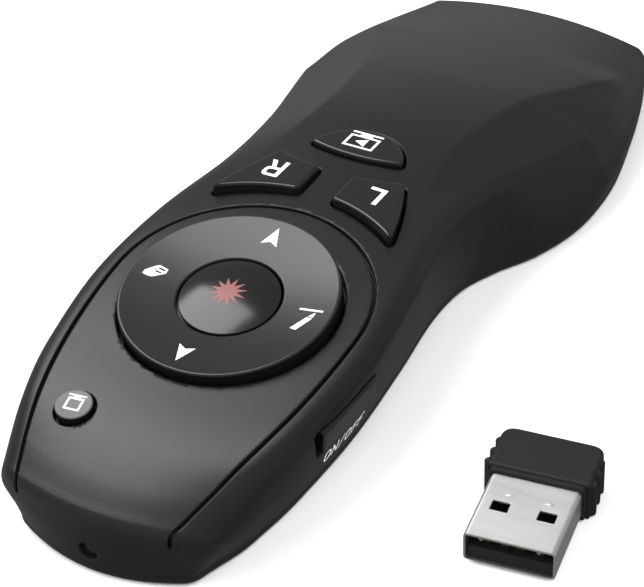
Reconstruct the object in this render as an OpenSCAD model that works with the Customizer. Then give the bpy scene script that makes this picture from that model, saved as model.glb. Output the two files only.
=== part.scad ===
// Wireless presentation clicker with its USB receiver.
// Origin: on the resting surface, straight below the centre of the dial.
// +Y runs towards the palm end, the laser looks out along -Y, +Z is up.

/* [Body] */
// Distance from the dial centre to the front wall
nose_l = 36.6; // [35.5:0.1:38]
// Distance from the dial centre to the palm end
tail_l = 101.4; // [98:0.2:106]
// Width across the palm at its widest, low on the side walls
palm_w = 54; // [52:0.5:58]
// Width across the waist at its foot
waist_w = 33.2; // [33:0.2:36]
// Width across the top edges beside the dial
shoulder_w = 44.2; // [43:0.2:47]
// Height of the top surface at its peak
peak_h = 19.5; // [19.3:0.1:20.5]
// Height of the palm end's top edge
tail_h = 7.8; // [7:0.1:9]
// Height of the top surface at the front edge
front_h = 12.2; // [11.8:0.1:13]
// Thickness of the top shell and the front cover
wall = 1.4; // [1.2:0.05:1.5]
// Height of the seam between top shell and bottom shell
part_z = 2; // [1.9:0.05:2.3]
// Rounding of the front edge
nose_r = 2; // [1.8:0.1:2.4]
// Rounding of the palm end's edge
tail_r = 1; // [0.8:0.1:1.6]
// Rounding of the bottom edge
base_r = 1.6; // [1.2:0.1:1.8]
// Thickness of the bottom shell's floor
floor_t = 1.4; // [1.2:0.05:1.4]
// Width of the visible seams
seam = 0.15; // [0.1:0.01:0.2]

/* [Dial] */
// Diameter of the dial ring
dial_d = 30; // [29:0.1:30.6]
// Height of the ring's rim plane above the body's peak
dial_rise = 0; // [-0.2:0.1:0.5]
// Tilt of the dial, rising towards the palm
dial_tilt = 8; // [7:0.25:8.5]
// Diameter of the opening in the ring
ring_bore_d = 14.4; // [14:0.1:15]
// Depth of the ring's dish at its inner edge
dish_depth = 0.75; // [0.5:0.05:0.9]
// Rise of the centre button's dome over its rim
dome_rise = 1; // [0.5:0.1:1.2]
// How far the ring rocks each way, in degrees
rock_angle = 2; // [1:0.5:2]
// Depth of the rocking axes below the rim plane
pivot_depth = 5.6; // [5.5:0.05:5.7]
// Diameter of the rocker's pins
pin_d = 1.2; // [1:0.05:1.3]
// Radial clearance of a pin in its bore
pin_fit = 0.05; // [0.03:0.01:0.08]
// Gap around the ring, the buttons and the keys
key_gap = 0.3; // [0.25:0.01:0.35]

/* [Keys] */
// Height of the key tops above the body's peak
key_rise = 1.2; // [0.9:0.05:1.5]
// Travel of a key
key_travel = 0.5; // [0.4:0.05:0.5]
// Radius of the keys' near edges, concentric with the dial
key_arc_r = 23.6; // [23:0.1:24]
// Gap between the left and the right click key
key_split = 5.3; // [5:0.1:6]
// Radius of the slide show key's round edge
show_r = 7.45; // [7:0.05:8]
// Place of the slide show key's centre
show_y = 34.5; // [34.2:0.1:34.8]
// Diameter of the blank key
blank_d = 5; // [4.6:0.1:5.4]
// Place of the blank key, across and along the body
blank_x = -9.1; // [-9.5:0.1:-8.5]
blank_y = -24; // [-24.4:0.1:-23.6]
// Thickness of a key's retaining flange
flange_t = 0.8; // [0.7:0.05:0.9]

/* [Front cover] */
// Width of the top shell's rim beside the cover's round end
cover_rim = 3.6; // [3.3:0.1:3.9]
// How far that end's centre lies behind the dial's
cover_y = 1.6; // [1.3:0.1:1.8]
// Radius of the cover's flanks
flank_r = 97; // [94:1:100]
// Height of the cover's lower edge on the front wall
cover_foot = 7.9; // [7.4:0.1:8.4]

/* [Power slider] */
// Length of the slider
slider_l = 13; // [12:0.1:13.2]
// Height of the slider
slider_w = 5.2; // [5:0.05:5.4]
// Travel of the slider
slider_travel = 1; // [0.8:0.1:1.2]
// Place of the slider's middle, along the body and above the resting surface
slider_y = -5.35; // [-5.6:0.05:-5.1]
slider_z = 10.2; // [10.1:0.05:10.4]

/* [Inside] */
// Thickness of the main board
board_t = 1; // [0.8:0.05:1.1]
// Depth of the main board's underside below the dial's rim plane
board_drop = 8.7; // [8.6:0.05:8.9]
// Tilt of the main board
board_tilt = 4; // [3.8:0.1:4.1]
// Half the width of the main board
board_half_w = 15.8; // [15.6:0.1:16]
// Height of a tact switch
tact_h = 1; // [0.8:0.05:1.05]
// Diameter of a battery cell
cell_d = 10.5; // [10.2:0.1:10.6]
// Length of a battery cell
cell_l = 44.5; // [43.5:0.1:44.6]
// Where the cells start
cell_y = 30; // [29.8:0.1:30.4]
// Width of the battery door
door_w = 24; // [23.6:0.1:25]
// Diameter of the laser barrel
laser_d = 4.8; // [4.4:0.1:4.9]
// Height of the laser's axis
laser_z = 4; // [3.95:0.05:4.1]
// Diameter of the laser's aperture
aperture_d = 2.6; // [2:0.1:2.8]
// Diameter of the case screws' thread
screw_d = 2; // [1.8:0.1:2.2]

/* [Receiver] */
// Width of the plug, as the USB standard gives it
plug_w = 12; // [11.9:0.05:12.1]
// Thickness of the plug
plug_t = 4.5; // [4.4:0.05:4.6]
// Length of the plug outside the housing
plug_l = 12.4; // [12:0.1:13]
// Sheet thickness of the plug shell
plug_sheet = 0.3; // [0.25:0.01:0.35]
// Width of the housing, over its grip ribs
hub_w = 14.6; // [14.2:0.1:16]
// Depth of the housing
hub_l = 7.9; // [7.5:0.1:10]
// Thickness of the housing
hub_t = 6; // [5.9:0.1:7]
// Place of the plug's mouth beside the hand unit
receiver_x = 46.9; // [45:0.1:60]
receiver_y = -13; // [-20:0.1:0]
// Turn of the receiver
receiver_turn = 7.5; // [-10:0.5:20]

/* [Hidden] */
$fn = 48;

front_y = -nose_l;
end_y = tail_l;
dial_h = peak_h + dial_rise;
key_h = peak_h + key_rise;
cover_r = shoulder_w/2 - cover_rim;
board_z = dial_h - board_drop;
front_low_r = 24;   // plan radius of the front wall at its foot
front_high_r = 37;  // and from the cover's lower edge up
tail_bow_r = 95;    // plan radius of the palm end

corner_y = 64.5;    // where the top edges turn at the palm's corners

// Profiles along the body, each a list of [place, value]. A place given twice is a corner.
spine = [
    [front_y, front_h], [-25, front_h + 2.3], [-13, dial_h - 3.3], [0, dial_h - 1.6],
    [14, peak_h - 0.35], [24, peak_h],
    [36, peak_h - 0.1], [46, peak_h - 0.5], [54, peak_h - 1.4], [66, peak_h - 3.4],
    [end_y - 16, tail_h + 3.9], [end_y, tail_h]
];
edge_x = [
    [front_y, shoulder_w/2 - 7], [-28, shoulder_w/2 - 4.1], [-14, shoulder_w/2 - 1.4], [0, shoulder_w/2],
    [14, shoulder_w/2 - 1.2], [30, waist_w/2 + 2.1], [45, waist_w/2 + 3.1],
    [56, palm_w/2 - 4.9], [corner_y, palm_w/2 - 3.1], [corner_y, palm_w/2 - 3.1],
    [76, palm_w/2 - 3.9], [90, palm_w/2 - 6], [end_y, palm_w/2 - 8.7]
];
edge_z = [
    [front_y, front_h - 0.6], [-25, front_h + 1.7], [-13, dial_h - 4.1], [0, dial_h - 2.6],
    [14, peak_h - 1.4], [29, peak_h - 1.7], [45, peak_h - 4.1], [56, peak_h - 6.4],
    [corner_y, peak_h - 7.8], [76, tail_h + 3.1], [end_y, tail_h - 1.1]
];
crease_x = [
    [front_y, 9], [0, 14], [30, 13.2], [46, 11.5], [64, 13.4], [75, 17.3], [86, 20.2], [end_y, 16]
];
crease_drop = [
    [front_y, 0.3], [30, 1], [46, 0.9], [64, 1.2], [75, 1.8], [86, 1.7], [end_y, 1.2]
];
foot_x = [
    [front_y, shoulder_w/2 - 9], [-30, shoulder_w/2 - 6.4], [-24, shoulder_w/2 - 5.5],
    [-14, shoulder_w/2 - 4.5], [0, shoulder_w/2 - 3.8],
    [15, waist_w/2 + 1], [28, waist_w/2], [36, waist_w/2 + 0.8], [42, waist_w/2 + 3.4],
    [48, palm_w/2 - 3.4], [56, palm_w/2 - 0.7], [64, palm_w/2], [72, palm_w/2 - 0.6],
    [90, palm_w/2 - 4.1], [end_y, palm_w/2 - 7.8]
];
wall_bulge = [
    [front_y, 0.3], [20, 0.4], [40, 0.6], [52, 0.6], [corner_y, 1.3], [80, 1.6], [end_y, 0.9]
];
edge_round = [[front_y, 3], [25, 2.6], [45, 1.4], [62, 0.7], [end_y, 0.7]];

// ---- curves ----
function slope(c, i) =
    let (a = max(i - 1, 0), b = min(i + 1, len(c) - 1))
    (c[b][1] - c[a][1]) / (c[b][0] - c[a][0]);
function curve(c, place) =
    let (
        y = max(c[0][0], min(c[len(c) - 1][0], place)),
        i = max(0, min(len(c) - 2, len([for (p = c) if (p[0] <= y) 1]) - 1)),
        w = c[i + 1][0] - c[i][0],
        t = (y - c[i][0]) / w,
        t2 = t*t,
        t3 = t2*t
    )
    (2*t3 - 3*t2 + 1)*c[i][1] + (t3 - 2*t2 + t)*w*slope(c, i)
        + (3*t2 - 2*t3)*c[i + 1][1] + (t3 - t2)*w*slope(c, i + 1);
function fade(a, b, y) = let (t = max(0, min(1, (y - a)/(b - a)))) t*t*(3 - 2*t);
function crease_mix(y) = fade(24, 44, y) * (1 - fade(80, 90, y));
// How far a point off the centre line lies behind the front wall's or the palm end's middle
function front_bow(z) = let (t = fade(part_z, cover_foot, z)) (1 - t)/front_low_r + t/front_high_r;
function bow(y, x, z) =
    (1 - fade(front_y + nose_r, front_y + 24, y)) * x*x*front_bow(z)/2
    - fade(end_y - 32, end_y - tail_r, y) * x*x/(2*tail_bow_r);

// Height of the top surface
function top_z(y, x) =
    let (
        s = curve(spine, y), tx = curve(edge_x, y), tz = curve(edge_z, y),
        cx = min(curve(crease_x, y), tx - 1.2), cz = s - curve(crease_drop, y),
        m = crease_mix(y), r = abs(x),
        crowned = s - (s - tz)*pow(r/tx, 2),
        creased = r <= cx ? s - (s - cz)*pow(r/cx, 2) : cz + (tz - cz)*(r - cx)/(tx - cx)
    )
    (1 - m)*crowned + m*creased;
// Side wall from the top edge, t = 0, to the foot, t = 1
function side_point(y, t) =
    let (
        tx = curve(edge_x, y), tz = curve(edge_z, y), fx = curve(foot_x, y),
        mx = (tx + fx)/2 + 2*curve(wall_bulge, y), mz = (tz + part_z)/2
    )
    [(1 - t)*(1 - t)*tx + 2*t*(1 - t)*mx + t*t*fx, (1 - t)*(1 - t)*tz + 2*t*(1 - t)*mz + t*t*part_z];

// Half a cross-section from the foot to the spine, as [x, z]
function outer_half(y) =
    let (
        tx = curve(edge_x, y), tz = curve(edge_z, y), r = curve(edge_round, y),
        tb = r/(tz - part_z), xa = tx - r, a = [xa, top_z(y, xa)], b = side_point(y, tb),
        cx = min(curve(crease_x, y), tx - 1.2)
    )
    concat(
        [for (t = [1, 0.8, 0.6, 0.4]) side_point(y, t)],
        [for (u = [0, 1/3, 2/3, 1]) (1 - u)*(1 - u)*b + 2*u*(1 - u)*[tx, tz] + u*u*a],
        [for (x = [min(cx, xa - 0.2)*0.5 + xa*0.5, min(cx, xa - 0.2), cx*0.7, cx*0.36, 0]) [x, top_z(y, x)]]
    );
function inner_half(y) =
    let (tx = curve(edge_x, y) - wall, cx = min(curve(crease_x, y), tx - 0.4))
    concat(
        [for (t = [1, 0.75, 0.5]) side_point(y, t) - [wall, 0]],
        [for (x = [tx, cx, cx*0.5, 0]) [x, top_z(y, x) - wall]]
    );
// A ring of the loft. q is [section place, place on the centre line, inset, scale].
function ring(q, half) =
    let (
        n = len(half), w = half[0][0], h = half[n - 1][1] - part_z,
        right = [for (p = half)
            let (x = p[0]*(1 - q[2]/w)*q[3], z = part_z + (p[1] - part_z)*(1 - q[2]/h)*q[3])
            [x, q[1] + bow(q[0], x, z), z]]
    )
    concat(right, [for (i = [n - 2:-1:0]) [-right[i][0], right[i][1], right[i][2]]]);

// Places of the loft's sections, with one on the palm's corners
front_stations = 28;
rear_stations = 11;
function station_places(a, b) = concat(
    [for (i = [0:front_stations - 1]) a + (corner_y - a)*i/front_stations],
    [for (i = [0:rear_stations]) corner_y + (b - corner_y)*i/rear_stations]
);
function body_rings(nose_in, nose_round, tail_in, tail_round) =
    let (ys = front_y + nose_r, ye = end_y - tail_r)
    concat(
        [for (s = [0.35, 0.7]) [ys, front_y + nose_in, nose_round, s]],
        [for (a = [90, 60, 30])
            [ys, front_y + nose_in + nose_round*(1 - sin(a)), nose_round*(1 - cos(a)), 1]],
        [for (y = station_places(ys, ye))
            let (place = y == ys ? front_y + nose_in + nose_round
                : y == ye ? end_y - tail_in - tail_round : y)
            [y, place, 0, 1]],
        [for (a = [45, 90])
            [ye, end_y - tail_in - tail_round*(1 - sin(a)), tail_round*(1 - cos(a)), 1]],
        [for (s = [0.7, 0.35]) [ye, end_y - tail_in, tail_round, s]]
    );
outer_rings = body_rings(0, nose_r, 0, tail_r);
inner_rings = body_rings(wall, max(0.3, nose_r - wall), wall, max(0.2, tail_r - wall));

function flat(lists) = [for (l = lists) for (e = l) e];
// Triangles of a grid of rings with n points each, closed at both ends by a pole
function grid_faces(m, n, first, poles, flip) =
    let (
        quads = [for (i = [0:m - 2]) for (j = [0:n - 2])
            let (a = first + i*n + j, b = a + 1, c = a + n + 1, d = a + n)
            each [[a, b, c], [a, c, d]]],
        caps = [for (j = [0:n - 2]) each [
            [poles[0], first + j + 1, first + j],
            [poles[1], first + (m - 1)*n + j, first + (m - 1)*n + j + 1]]],
        all = concat(quads, caps)
    )
    flip ? [for (f = all) [f[0], f[2], f[1]]] : all;
function rim_faces(m, no, ni, side) =
    let (
        jo = side ? no - 1 : 0, ji = side ? ni - 1 : 0, oi = m*no + 2,
        o = concat([m*no], [for (i = [0:m - 1]) i*no + jo], [m*no + 1]),
        v = concat([oi + m*ni], [for (i = [0:m - 1]) oi + i*ni + ji], [oi + m*ni + 1]),
        all = [for (i = [0:m]) each [[o[i], o[i + 1], v[i + 1]], [o[i], v[i + 1], v[i]]]]
    )
    side ? [for (f = all) [f[0], f[2], f[1]]] : all;

module half_shell() {
    m = len(outer_rings);
    outer = [for (q = outer_rings) ring(q, outer_half(q[0]))];
    inner = [for (q = inner_rings) ring(q, inner_half(q[0]))];
    no = len(outer[0]);
    ni = len(inner[0]);
    oi = m*no + 2;
    poles = [[0, front_y, part_z], [0, end_y, part_z]];
    inner_poles = [[0, front_y + wall, part_z], [0, end_y - wall, part_z]];
    polyhedron(
        concat(flat(outer), poles, flat(inner), inner_poles),
        concat(
            grid_faces(m, no, 0, [m*no, m*no + 1], false),
            grid_faces(m, ni, oi, [oi + m*ni, oi + m*ni + 1], true),
            rim_faces(m, no, ni, false),
            rim_faces(m, no, ni, true)
        )
    );
}

// Right half of the seam's plan outline from front to back, set in by d, as [x, y]
function foot_path(d) =
    let (ys = front_y + nose_r, ye = end_y - tail_r)
    concat(
        [[0, front_y + d]],
        [for (q = outer_rings)
            let (p = ring(q, outer_half(q[0]))[0], back = fade(ye - 12, ye, q[0]))
            [p[0] - d*q[3], p[1] + d*(1 - fade(ys, ys + 12, q[0]) - back)]],
        [[0, end_y - d]]
    );
// Solid between stacked plan outlines; each level is [inset, height]
module stack(levels) {
    n = len(outer_rings) + 2;
    m = len(levels);
    ringed = [for (l = levels) let (p = foot_path(l[0])) concat(
        [for (q = p) [q[0], q[1], l[1]]],
        [for (i = [n - 2:-1:1]) [-p[i][0], p[i][1], l[1]]])];
    k = 2*n - 2;
    sides = [for (i = [0:m - 2]) for (j = [0:k - 1])
        let (a = i*k + j, b = i*k + (j + 1)%k, c = b + k, d = a + k)
        each [[a, c, b], [a, d, c]]];
    strips = [for (i = [0:n - 2]) let (l = (k - i)%k, r = k - i - 1)
        each (i == 0 ? [[0, 1, r]] : i == n - 2 ? [[i, i + 1, l]] : [[i, i + 1, r], [i, r, l]])];
    top = (m - 1)*k;
    polyhedron(flat(ringed), concat(
        sides,
        strips,
        [for (f = strips) [top + f[0], top + f[2], top + f[1]]]
    ));
}

base_levels = [for (a = [90, 60, 30, 0]) [base_r*(1 - cos(a)), base_r*(1 - sin(a))]];
seam_gap = 0.1;
lip_t = 0.9;
lip_h = 1.2;
lip_in = wall + seam;

// ---- shared outlines and places ----
module dial_frame() {
    translate([0, 0, dial_h]) rotate([dial_tilt, 0, 0]) children();
}
function dial_z(y) = dial_h + y*tan(dial_tilt);
function board_top(y) = board_z + y*tan(board_tilt) + board_t/cos(board_tilt);
module board_frame() {
    translate([0, 0, board_z]) rotate([board_tilt, 0, 0]) children();
}

// The cover's outline from above, grown by g
module cover_outline(g = 0) {
    translate([0, cover_y]) circle(cover_r + g, $fn = 96);
    intersection() {
        translate([flank_r - cover_r, cover_y]) circle(flank_r + g, $fn = 288);
        translate([cover_r - flank_r, cover_y]) circle(flank_r + g, $fn = 288);
        translate([-cover_r - g, front_y - 5]) square([2*(cover_r + g), cover_y + nose_l + 5]);
    }
}
module cover_prism(g = 0) {
    translate([0, 0, cover_foot - g]) linear_extrude(30) cover_outline(g);
}

key_back_r = 26.8;   // far edges of the click keys
show_near_r = 22.1;  // near edge of the slide show key
show_arc_y = 56.8;   // centre of both of those arcs
key_side_r = 48;     // outer edges of the click keys
key_side_at = [-33, 10.2];
key_corner_r = 0.5;
module click_outline(g = 0) {
    offset(r = g + key_corner_r) offset(delta = -key_corner_r) difference() {
        intersection() {
            translate([key_split/2, 10]) square([20, 30]);
            translate(key_side_at) circle(key_side_r, $fn = 240);
        }
        circle(key_arc_r, $fn = 120);
        translate([0, show_arc_y]) circle(key_back_r, $fn = 120);
    }
}
module show_outline(g = 0) {
    offset(r = g + 0.4) offset(delta = -0.4) intersection() {
        translate([0, show_y]) circle(show_r, $fn = 72);
        translate([0, show_arc_y]) circle(show_near_r, $fn = 120);
    }
}

// Tact switches: four under the ring, then those of the centre button and the keys.
// The dial's axis leans, so it meets the board behind the dial's centre.
tact_reach = dial_d/2 - 1.4;
tact_shift = 0.9;
click_tact = [8.2, key_arc_r + 1.8];
tact_places = [
    [0, tact_shift - tact_reach], [0, tact_shift + tact_reach],
    [-tact_reach, tact_shift], [tact_reach, tact_shift], [0, tact_shift],
    click_tact, [-click_tact[0], click_tact[1]], [0, show_y + 2.9], [blank_x, blank_y + 0.6]
];
tact_body_h = tact_h - 0.35;
tact_body_w = 2.6;
front_screws = [for (s = [-1, 1]) [s*7.2, front_y + 5.6]];
rear_screws = [for (s = [-1, 1]) [s*17.5, 62]];
board_posts_front = [for (s = [-1, 1]) [s*13, -19]];
board_posts_rear = [for (s = [-1, 1]) [s*12.6, 39.4]];
post_r = 1.7;
post_pilot_r = 0.6;
boss_r = 2.4;
boss_foot = 3.7;
boss_pilot_r = screw_d/2 - 0.2;
all_screws = concat(front_screws, rear_screws);
function post_holes() = concat(board_posts_front, board_posts_rear);
// The board leans, so a post's foot clears it by its rise across the post
function post_foot(y) = board_top(y) + post_r*tan(board_tilt) + 0.05;

// A column that hangs from the inside of the top, with a pilot hole from below
module hanging_post(p, r, foot, pilot_r) {
    near = top_z(p[1] - r, abs(p[0]) + r);
    far = top_z(p[1] + r, abs(p[0]) + r);
    top = min(near, far) - 0.3*wall;
    translate([p[0], p[1], foot]) difference() {
        cylinder(h = top - foot, r = r);
        translate([0, 0, -1]) cylinder(h = min(6, top - foot - 0.6) + 1, r = pilot_r);
    }
}

// The slider lies on the leaning side wall, and its ends slant
slider_lean = 15.4;
slider_turn = 3.2;
slider_x = shoulder_w/2 - 1.2;
slider_t = 1.9;
slider_slant = 1.7;
module slider_frame() {
    translate([slider_x, slider_y, slider_z]) rotate([0, slider_lean, -slider_turn]) children();
}
// A slab with the slider's outline, grown by g and run on by front_room, from depth back to front
module slider_slab(g, front_room, back, front) {
    l = slider_l/2 + g;
    h = slider_w/2 + g;
    lean = slider_slant*h/slider_w;
    translate([back, 0, 0]) rotate([90, 0, 90]) linear_extrude(front - back)
        polygon([[-l - front_room - lean, h], [-l - front_room + lean, -h], [l + lean, -h], [l - lean, h]]);
}

// ---- hand unit ----
shell_colour = [0.2, 0.2, 0.21];
cover_colour = [0.38, 0.38, 0.39];
key_colour = [0.14, 0.14, 0.15];
gloss_colour = [0.05, 0.05, 0.06];
steel_colour = [0.78, 0.78, 0.79];
board_colour = [0.1, 0.35, 0.2];
brass_colour = [0.75, 0.62, 0.35];

module top_shell() color(shell_colour) {
    difference() {
        half_shell();
        cover_prism(seam/2);
        translate([0, 0, 10]) linear_extrude(20) {
            click_outline(key_gap);
            mirror([1, 0]) click_outline(key_gap);
            show_outline(key_gap);
        }
        translate([0, front_y - 3, laser_z]) rotate([-90, 0, 0]) cylinder(h = 8, d = aperture_d);
        slider_frame() slider_slab(key_gap, slider_travel, -5, 4);
    }
    for (p = rear_screws) hanging_post(p, boss_r, boss_foot, boss_pilot_r);
    for (p = board_posts_rear) hanging_post(p, post_r, post_foot(p[1]), post_pilot_r);
}

module front_cover() color(cover_colour) {
    difference() {
        intersection() {
            half_shell();
            cover_prism(-seam/2);
        }
        dial_frame() translate([0, 0, -8]) cylinder(h = 16, d = dial_d + 2*key_gap + 0.1, $fn = 96);
        blank_frame() translate([0, 0, -6]) cylinder(h = 12, d = blank_d + 2*key_gap);
    }
    for (p = front_screws) hanging_post(p, boss_r, boss_foot, boss_pilot_r);
    for (p = board_posts_front) hanging_post(p, post_r, post_foot(p[1]), post_pilot_r);
}

door_y = cell_y - 3;
door_gap = 0.15;
tongue_w = 0.8;
tongue_t = 0.46;
rail_low = 0.5;      // the rails that the door's tongues run in
rail_h = 0.7;
// The battery bay's walls stand round the door's opening
bay_low = 0.5;
bay_h = 9;
bay_t = 1.2;
bay_half_w = door_w/2 + 1.15;
bay_front = door_y - 0.2;
bay_back = cell_y + cell_l + 3.6;
bay_l = bay_back - bay_front + 2*bay_t;
ledge_in = 1.55;     // how far the ledge over the rail reaches under the cells
tray_boss_r = boss_r + 0.3;
head_depth = 2;
module door_space(g, low, high) {
    translate([-door_w/2 - g, door_y - g, low]) cube([door_w + 2*g, end_y + 10, high - low]);
}
module bottom_shell() color(shell_colour) difference() {
    union() {
        difference() {
            stack(concat(
                base_levels,
                [[0, part_z - seam_gap], [lip_in, part_z - seam_gap], [lip_in, part_z + lip_h],
                 [lip_in + lip_t, part_z + lip_h], [lip_in + lip_t, floor_t]]
            ));
            door_space(door_gap, -1, 12);
        }
        for (p = all_screws) translate([p[0], p[1], 0.6])
            cylinder(h = boss_foot - 0.8, r = tray_boss_r);
        for (s = [-1, 1]) translate([s*(bay_half_w + bay_t/2), bay_front - bay_t, bay_low]) {
            translate([-bay_t/2, 0, 0]) cube([bay_t, bay_l, bay_h]);
            translate([-ledge_in, 0, 0]) cube([ledge_in + 0.65, bay_l, floor_t - 0.15]);
        }
        translate([-bay_half_w - bay_t, bay_front - bay_t, bay_low])
            cube([2*(bay_half_w + bay_t), bay_t, bay_h]);
        translate([-bay_half_w - bay_t, bay_back, floor_t + 0.35])
            cube([2*(bay_half_w + bay_t), bay_t, 5.5]);
    }
    for (p = all_screws) translate([p[0], p[1], -1]) {
        cylinder(h = 1 + head_depth, r = screw_d + 0.25);
        cylinder(h = 6, r = screw_d/2 + 0.15);
    }
    for (s = [-1, 1]) translate([s*(door_w/2 + door_gap + tongue_w/2), 0, rail_low])
        translate([-tongue_w/2 - 0.1, door_y - door_gap, 0]) cube([tongue_w + 0.2, end_y, rail_h]);
}

// Thumb grooves across the door's far end
groove_count = 4;
groove_step = 2.2;
groove_l = 12;
groove_r = 0.5;

module battery_door() color(shell_colour) {
    difference() {
        intersection() {
            stack(concat(base_levels, [[0, part_z - 0.2]]));
            union() {
                door_space(0, 0.15, floor_t);
                translate([-door_w/2, end_y - 7, 0.15]) cube([door_w, 12, part_z - 0.35]);
            }
        }
        for (i = [0:groove_count - 1])
            translate([-groove_l/2, end_y - 20 + i*groove_step, 0.15]) rotate([0, 90, 0])
                cylinder(h = groove_l, r = groove_r, $fn = 24);
    }
    for (s = [-1, 1]) translate([s*(door_w/2 - 0.2 + tongue_w/2), door_y + 0.2, rail_low + 0.12])
        translate([-tongue_w/2, 0, 0]) cube([tongue_w, end_y - door_y - 14, tongue_t]);
}

module case_screws() color(steel_colour) for (p = all_screws) translate([p[0], p[1], 0])
    difference() {
        union() {
            translate([0, 0, head_depth - 1.3]) cylinder(h = 1.25, r = screw_d);
            translate([0, 0, head_depth - 0.1]) cylinder(h = 6, r = boss_pilot_r);
        }
        for (a = [0, 90]) rotate(a) translate([-screw_d*0.6, -0.25, 0])
            cube([screw_d*1.2, 0.5, head_depth - 0.8]);
    }

// The board's right half, from front to back
board_half = [
    [board_half_w - 4.2, front_y + 8.8], [board_half_w, front_y + 16.6], [board_half_w, 22],
    [board_half_w - 1.3, 26], [board_half_w - 1.3, show_y + 8]
];
module main_board() color(board_colour) board_frame() difference() {
    linear_extrude(board_t)
        polygon(concat(board_half, [for (i = [4:-1:0]) [-board_half[i][0], board_half[i][1]]]));
    for (p = post_holes()) translate([p[0], p[1]/cos(board_tilt), -1])
        cylinder(h = board_t + 2, r = 0.9);
}

module board_chips() color([0.12, 0.12, 0.13]) board_frame() {
    translate([-4.5, -14, -1]) cube([7, 7, 1]);
    translate([-5, 8, -1.6]) cube([10, 9, 1.6]);
    translate([6, -12, -1.2]) cube([3.2, 5, 1.2]);
    for (i = [0:3]) translate([-10 + i*1.9, 0, -0.6]) cube([0.9, 1.8, 0.6]);
}

module tact_switches() color(steel_colour) for (p = tact_places) translate([p[0], p[1], 0])
    translate([0, 0, board_top(p[1])]) rotate([board_tilt, 0, 0]) {
        translate([-tact_body_w/2, -tact_body_w/2, 0]) cube([tact_body_w, tact_body_w, tact_body_h]);
        cylinder(h = tact_h, r = 0.9, $fn = 24);
    }

// The slider's arm reaches through its slot into the switch under the board's edge
lever_z = slider_z - 1.1;
lever_t = 1.4;
lever_w = 1.8;
switch_x = board_half_w - 4.6;
switch_w = 3.6;
switch_l = 9;
switch_h = 4;
lever_x = switch_x + switch_w - 0.8;
module power_switch() color(steel_colour) difference() {
    board_frame() translate([switch_x, slider_y - 5, -switch_h]) cube([switch_w, switch_l, switch_h]);
    translate([lever_x - 0.6, slider_y - lever_w/2 - 0.6 - slider_travel, lever_z - lever_t/2 - 0.3])
        cube([3, lever_w + 1.2 + slider_travel, lever_t + 0.6]);
}

module board_screws() color(steel_colour) for (p = post_holes())
    translate([p[0], p[1], board_top(p[1]) - board_t/cos(board_tilt)]) rotate([board_tilt, 0, 0]) {
        translate([0, 0, -0.9]) cylinder(h = 0.85, r = 1.4, $fn = 32);
        translate([0, 0, -0.1]) cylinder(h = board_t + 1.2, r = 0.5, $fn = 24);
    }

barrel_y = front_y + lip_in + lip_t + 0.4;
module laser_barrel() {
    color(brass_colour) translate([0, barrel_y, laser_z]) rotate([-90, 0, 0]) difference() {
        cylinder(h = 12, d = laser_d);
        translate([0, 0, -1]) cylinder(h = 4, d = 1.6);
    }
    color(board_colour) translate([-2.2, barrel_y + 12, laser_z - 0.4]) cube([4.4, 8, 0.8]);
}
window_in = 0.7;
module laser_window() color([0.25, 0.05, 0.05])
    translate([0, front_y + window_in, laser_z]) rotate([-90, 0, 0])
        cylinder(h = wall - window_in, d = aperture_d - 0.1, $fn = 32);

cell_z = floor_t + 0.35 + cell_d/2;
module cell(side) {
    flip = side > 0 ? 1 : 0;
    translate([side*(cell_d/2 + 0.2), cell_y + flip*cell_l, cell_z]) rotate([flip ? 90 : -90, 0, 0]) {
        cylinder(h = cell_l - 1, d = cell_d);
        cylinder(h = cell_l, d = 3.8);
    }
}
module left_cell() color([0.75, 0.6, 0.3]) cell(1);
module right_cell() color([0.75, 0.6, 0.3]) cell(-1);
// Sprung contacts at each cell's flat end, soldered to the plates behind them
module spring_coil(r, wire, turns, h) {
    for (i = [0:turns - 1]) translate([0, 0, (i + 0.5)*h/turns]) rotate_extrude($fn = 24)
        translate([r - i*0.35, 0]) circle(wire, $fn = 16);
    translate([0, 0, -0.1]) cylinder(h = h - 0.1, r = wire, $fn = 16);
    for (i = [0:turns - 1]) translate([0, -wire*0.7, (i + 0.5)*h/turns - wire*0.6])
        cube([r - i*0.35, wire*1.4, wire*1.2]);
}
module cell_springs() color(steel_colour) {
    for (side = [-1, 1]) {
        back = side > 0;
        y = back ? cell_y + cell_l + 3.1 : cell_y - 1.25;
        gap = back ? 2.9 : 1.05;
        translate([side*(cell_d/2 + 0.2), y, cell_z]) {
            rotate([back ? 90 : -90, 0, 0]) spring_coil(2.9, 0.28, back ? 3 : 2, gap - 0.05);
            translate([-4.2, back ? 0 : -0.35, -3.6]) cube([8.4, 0.35, 7.2]);
        }
    }
}
module cell_bridge() color(steel_colour) {
    x = cell_d/2 + 0.2;
    translate([-x - 3, cell_y + cell_l + 0.08, cell_z - 2.2]) cube([6, 0.4, 4.4]);
    translate([x - 3, cell_y - 0.5, cell_z - 2.2]) cube([6, 0.4, 4.4]);
}

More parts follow.
